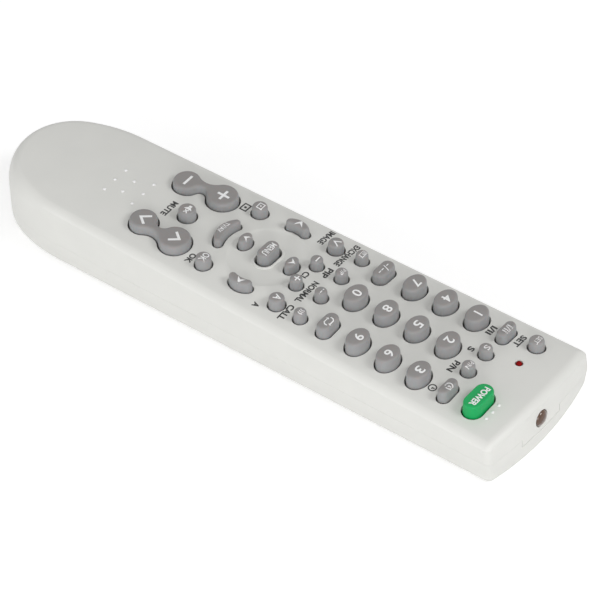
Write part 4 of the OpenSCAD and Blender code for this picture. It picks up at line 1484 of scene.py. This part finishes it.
class RemoteDots(bpy.types.Operator):
    """Raised dots for the finger, over the power key and on the tail"""

    bl_idname = "remote.dots"
    bl_label = "Raised dots"

    dot_radius = 0.5 * MM
    dot_height = 0.3 * MM
    # Rows of dots: where they start from, their distance along the face, and places across it
    rows = (
        ((POWER_X, POWER_Y), 4.85, (-3.1, 0, 2.9)),
        ((0.5, ROCKER[1]), -24.6, (-5.1, 0, 5.1)),
        ((0.5, ROCKER[1]), -14, (-5.1, 0, 5.1)),
        ((0.5, ROCKER[1]), -19.5, (-2.7, 2.7)),
    )

    def execute(self, context):
        form = case_form(context)
        spots = [(x0 + x, y0 + y) for (x0, y0), y, across in self.rows for x in across]
        points = form.on_face([(x, y, -form.sag(x)) for x, y in spots])
        mesh = bpy.data.meshes.new("raised_dots")
        mesh.from_pydata([Vector(p) * MM for p in points], [], [])
        piece = new_object("raised_dots", mesh)
        # The dots take the white of the legend ink, so they show paler than the case.
        material = outside(context, "legend_ink")
        tree = dots_tree(material, form.tilt)
        step = piece.modifiers.new("dots", "NODES")
        step.node_group = tree
        values = {"Dot radius": self.dot_radius, "Dot height": self.dot_height}
        for socket in tree.interface.items_tree:
            if socket.in_out == "INPUT" and socket.name in values:
                step[socket.identifier] = values[socket.name]
        baked(piece)
        if not piece.data.polygons:
            raise RuntimeError("the dots were not made")
        settle(piece, material, "case", "case_pale")
        return {"FINISHED"}


# Lamps and what is inside


class RemoteLamps(bpy.types.Operator):
    """Infrared emitter in the front and red indicator in the face"""

    bl_idname = "remote.lamps"
    bl_label = "Emitter and indicator"

    emitter_radius = 2.62
    emitter_out = 0.9
    emitter_dome = 1.5
    emitter_body = 4.7
    emitter_flange = 0.3
    leg_radius = 0.25
    leg_sunk = 0.2
    leg_z = 9.06
    lamp_radius = 0.9
    lamp_sink = 0.5
    lamp_foot = -5.4
    lamp_flange = 0.4
    flange = 1.0
    # Rise of the step on a flange, and radius at which a dome is closed
    step = 0.02
    tip = 0.03

    def execute(self, context):
        form = case_form(context)
        radius, body, rise = self.emitter_radius, self.emitter_body, self.emitter_dome
        dome = [(radius * r, body + rise * z) for r, z in arc((0, 0), 1, 0, 90, steps=15)[:-1]]
        foot = self.foot(radius, self.emitter_flange, 0)
        points, faces = lathe(foot + dome + [(self.tip, body + rise)])
        back = form.front + self.emitter_out - body - rise
        solids = [(towards_front(points, back, EMITTER_Z), faces)]
        leg = [(self.leg_radius, 0), (self.leg_radius, body + self.leg_sunk)]
        points, faces = lathe(leg, steps=16)
        for side in (-1, 1):
            x = EMITTER_X + side * radius / 2
            solids.append((towards_front(points, back - body, self.leg_z, x), faces))
        piece = new_object("emitter", mesh_from("emitter", *join(*solids)))
        finish_shape(piece, angle=40)
        settle(piece, outside(context, "emitter_lens"), "case", "emitter", "ir_led")
        self.indicator(context, form)
        return {"FINISHED"}

    def foot(self, radius, wide, low):
        """Profile of a flange, wider than the body of the lamp over it."""
        ledge = low + self.flange
        return [(radius + wide, low), (radius + wide, ledge), (radius, ledge + self.step)]

    def indicator(self, context, form):
        """Small red dome that just rises out of the face."""
        radius, sink = self.lamp_radius, self.lamp_sink
        dome = arc((0, -sink), radius, 0, 90, steps=10)[:-1] + [(self.tip, radius - sink)]
        foot = self.foot(radius, self.lamp_flange, self.lamp_foot)
        points, faces = lathe(foot + dome, steps=32)
        placed = form.on_face([(x + LAMP[0], y + LAMP[1], z) for x, y, z in points])
        piece = new_object("indicator", mesh_from("indicator", placed, faces))
        finish_shape(piece, angle=40)
        settle(piece, outside(context, "lamp_lens"), "case", "lamp", "indicator_led")


# Finishes of the inner pieces: name, colour, roughness, spread, patch and bump as in moulded
STEEL = ("contact_steel", (0.62, 0.62, 0.63), 0.28, 0.05, 2, (0.3, 0.002))
RESIN = ("chip_resin", (0.02, 0.02, 0.022), 0.5, 0.1, 1.5, (0.2, 0.004))
JACKET = ("cell_jacket", (0.05, 0.09, 0.22), 0.3, 0.08, 6, (0.6, 0.002))
INSIDE = {
    "keypad_sheet": ("sheet_silicone", (0.27, 0.25, 0.24), 0.55, 0.05, 5, (0.4, 0.005)),
    "circuit_board": ("board_laminate", (0.33, 0.21, 0.06), 0.5, 0.12, 2, (0.5, 0.006)),
    "control_chip": RESIN,
    "ceramic_resonator": ("resonator_shell", (0.62, 0.3, 0.05), 0.35, 0.08, 1, (0.4, 0.003)),
    "storage_capacitor": ("capacitor_sleeve", (0.02, 0.035, 0.14), 0.35, 0.1, 2, (0.5, 0.003)),
    "driver_transistor": RESIN,
    "resistors": ("resistor_body", (0.5, 0.33, 0.16), 0.5, 0.15, 0.8, (0.3, 0.004)),
    "cell_left": JACKET,
    "cell_right": JACKET,
    "spring_tail": STEEL,
    "spring_front": STEEL,
    "tail_bridge": STEEL,
    "front_plate_plus": STEEL,
    "front_plate_minus": STEEL,
    "case_screws": STEEL,
}


class RemoteInside(bpy.types.Operator):
    """Finishes of the board, cells, contacts and screws"""

    bl_idname = "remote.inside"
    bl_label = "Inside"

    def execute(self, context):
        for name, finish in INSIDE.items():
            sockets = {"Metallic": 1.0} if finish is STEEL else {}
            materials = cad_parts[name].data.materials
            materials.clear()
            materials.append(moulded(*finish, **sockets))
        return {"FINISHED"}


# Stage

# Camera: side of the picture in pixels, angles in degrees over the face plane, focal length in
# pixels, distance, aim and sensor width in millimetres
PHOTO_SIDE = 600
CAMERA_AZIMUTH = 126.77
CAMERA_ELEVATION = 43.68
CAMERA_FOCUS = 4172.0
CAMERA_DISTANCE = 1199.4
CAMERA_AIM = (9.16, 15.29, 0)
SENSOR = 36.0


class RemoteStage(bpy.types.Operator):
    """Pale floor, soft studio light and the camera"""

    bl_idname = "remote.stage"
    bl_label = "Stage"

    # Lights: name, place and size in metres, and power in watts
    lamps = (
        ("front_light", (-0.25, 1.0, 0.9), (0.45, 0.45), 5.7),
        ("near_light", (0.9, 0.8, 0.35), (0.5, 0.5), 4.8),
        ("side_light", (1.1, -0.4, 0.3), (1.4, 0.4), 4.9),
    )
    horizon = 0.45
    zenith = 0.52
    floor_half = 3.0
    floor_low = -0.02 * MM
    floor_white = 0.82
    floor_lift = 0.42

    def execute(self, context):
        context.scene.view_settings.view_transform = "Standard"
        self.camera(context)
        self.floor()
        self.world(context)
        for name, place, size, watts in self.lamps:
            light = bpy.data.lights.new(name, "AREA")
            light.shape, light.energy = "RECTANGLE", watts
            light.size, light.size_y = size
            lamp = bpy.data.objects.new(name, light)
            context.scene.collection.objects.link(lamp)
            lamp.location = place
            lamp.rotation_euler = Vector(place).to_track_quat("Z", "Y").to_euler()
        return {"FINISHED"}

    def camera(self, context):
        """Camera at the viewing angle of the photograph, set out from the face plane."""
        a, e = math.radians(CAMERA_AZIMUTH), math.radians(CAMERA_ELEVATION)
        back = Vector((math.sin(a) * math.cos(e), -math.cos(a) * math.cos(e), math.sin(e)))
        right = Vector((0, 0, 1)).cross(back).normalized()
        up = back.cross(right)
        turn = Matrix((right, up, back)).transposed().to_4x4()
        place = Matrix.Translation(Vector(CAMERA_AIM) + back * CAMERA_DISTANCE)
        world = case_form(context).plane @ place @ turn
        world.translation *= MM
        data = bpy.data.cameras.new("camera")
        data.sensor_width = SENSOR
        data.lens = CAMERA_FOCUS * SENSOR / PHOTO_SIDE
        data.clip_end = 10
        camera = bpy.data.objects.new("camera", data)
        context.scene.collection.objects.link(camera)
        camera.matrix_world = world
        context.scene.camera = camera

    def floor(self):
        """White floor that keeps the shadow and shows white to the camera."""
        half = self.floor_half
        mesh = bpy.data.meshes.new("floor")
        corners = lifted(rectangle(-half, half, -half, half), self.floor_low)
        mesh.from_pydata(corners, [], [(0, 1, 2, 3)])
        floor = new_object("floor", mesh)
        white = (self.floor_white,) * 3
        material, node = shader("floor_paper", white, roughness=0.9, Specular_IOR_Level=0.0)
        tree = material.node_tree
        lift = tree.nodes.new("ShaderNodeMapRange")
        lift.inputs["To Max"].default_value = self.floor_lift
        tree.links.new(self.seen(tree), lift.inputs["Value"])
        node.inputs["Emission Color"].default_value = (1, 1, 1, 1)
        tree.links.new(lift.outputs["Result"], node.inputs["Emission Strength"])
        mesh.materials.append(material)

    def seen(self, tree):
        """Output that is 1 for rays from the camera, mirrors and glass."""
        path = tree.nodes.new("ShaderNodeLightPath")
        output = path.outputs["Is Camera Ray"]
        for kind in ("Is Glossy Ray", "Is Transmission Ray"):
            either = tree.nodes.new("ShaderNodeMath")
            either.operation = "MAXIMUM"
            tree.links.new(output, either.inputs[0])
            tree.links.new(path.outputs[kind], either.inputs[1])
            output = either.outputs["Value"]
        return output

    def world(self, context):
        """Surroundings that glow most near the horizon, and are white where they are seen."""
        world = bpy.data.worlds.new("studio")
        context.scene.world = world
        world.use_nodes = True
        tree = world.node_tree
        new, link = tree.nodes.new, tree.links.new
        sky = tree.nodes["Background"]
        sky.inputs["Color"].default_value = (1, 1, 1, 1)
        place, part = new("ShaderNodeTexCoord"), new("ShaderNodeSeparateXYZ")
        link(place.outputs["Generated"], part.inputs["Vector"])
        glow, level = new("ShaderNodeMapRange"), new("ShaderNodeMapRange")
        glow.inputs["To Min"].default_value = self.horizon
        glow.inputs["To Max"].default_value = self.zenith
        link(part.outputs["Z"], glow.inputs["Value"])
        level.inputs["To Max"].default_value = 1
        link(self.seen(tree), level.inputs["Value"])
        link(glow.outputs["Result"], level.inputs["To Min"])
        link(level.outputs["Result"], sky.inputs["Strength"])


OPERATORS = (
    RemoteTopShell,
    RemoteBottomShell,
    RemoteBatteryCover,
    RemoteKeys,
    RemoteLegends,
    RemoteLabels,
    RemoteDots,
    RemoteLamps,
    RemoteInside,
    RemoteStage,
)


class RemotePanel(bpy.types.Panel):
    """Steps and sizes of the remote control"""

    bl_idname = "VIEW3D_PT_remote"
    bl_label = "Remote control"
    bl_space_type = "VIEW_3D"
    bl_region_type = "UI"
    bl_category = "Remote"

    def draw(self, context):
        for group in ("remote_case", "remote_keys", "remote_colours"):
            values = getattr(context.scene, group)
            box = self.layout.box()
            for name in size_names(values):
                box.prop(values, name)
        for step in OPERATORS:
            self.layout.operator(step.bl_idname)


GROUPS = {
    "remote_case": RemoteCaseSizes,
    "remote_keys": RemoteKeySizes,
    "remote_colours": RemoteColours,
}


def register():
    """Makes the groups, operators and panel known."""
    for name, group in GROUPS.items():
        bpy.utils.register_class(group)
        setattr(bpy.types.Scene, name, PointerProperty(type=group))
    for step in (*OPERATORS, RemotePanel):
        bpy.utils.register_class(step)


def unregister():
    """Takes them away again."""
    for step in reversed((*OPERATORS, RemotePanel)):
        bpy.utils.unregister_class(step)
    for name, group in GROUPS.items():
        delattr(bpy.types.Scene, name)
        bpy.utils.unregister_class(group)


def main():
    """Builds the remote control."""
    register()
    bpy.ops.remote.top_shell()
    bpy.ops.remote.bottom_shell()
    bpy.ops.remote.battery_cover()
    bpy.ops.remote.keys()
    bpy.ops.remote.legends()
    bpy.ops.remote.labels()
    bpy.ops.remote.dots()
    bpy.ops.remote.lamps()
    bpy.ops.remote.inside()
    bpy.ops.remote.stage()


if __name__ == "__main__":
    main()
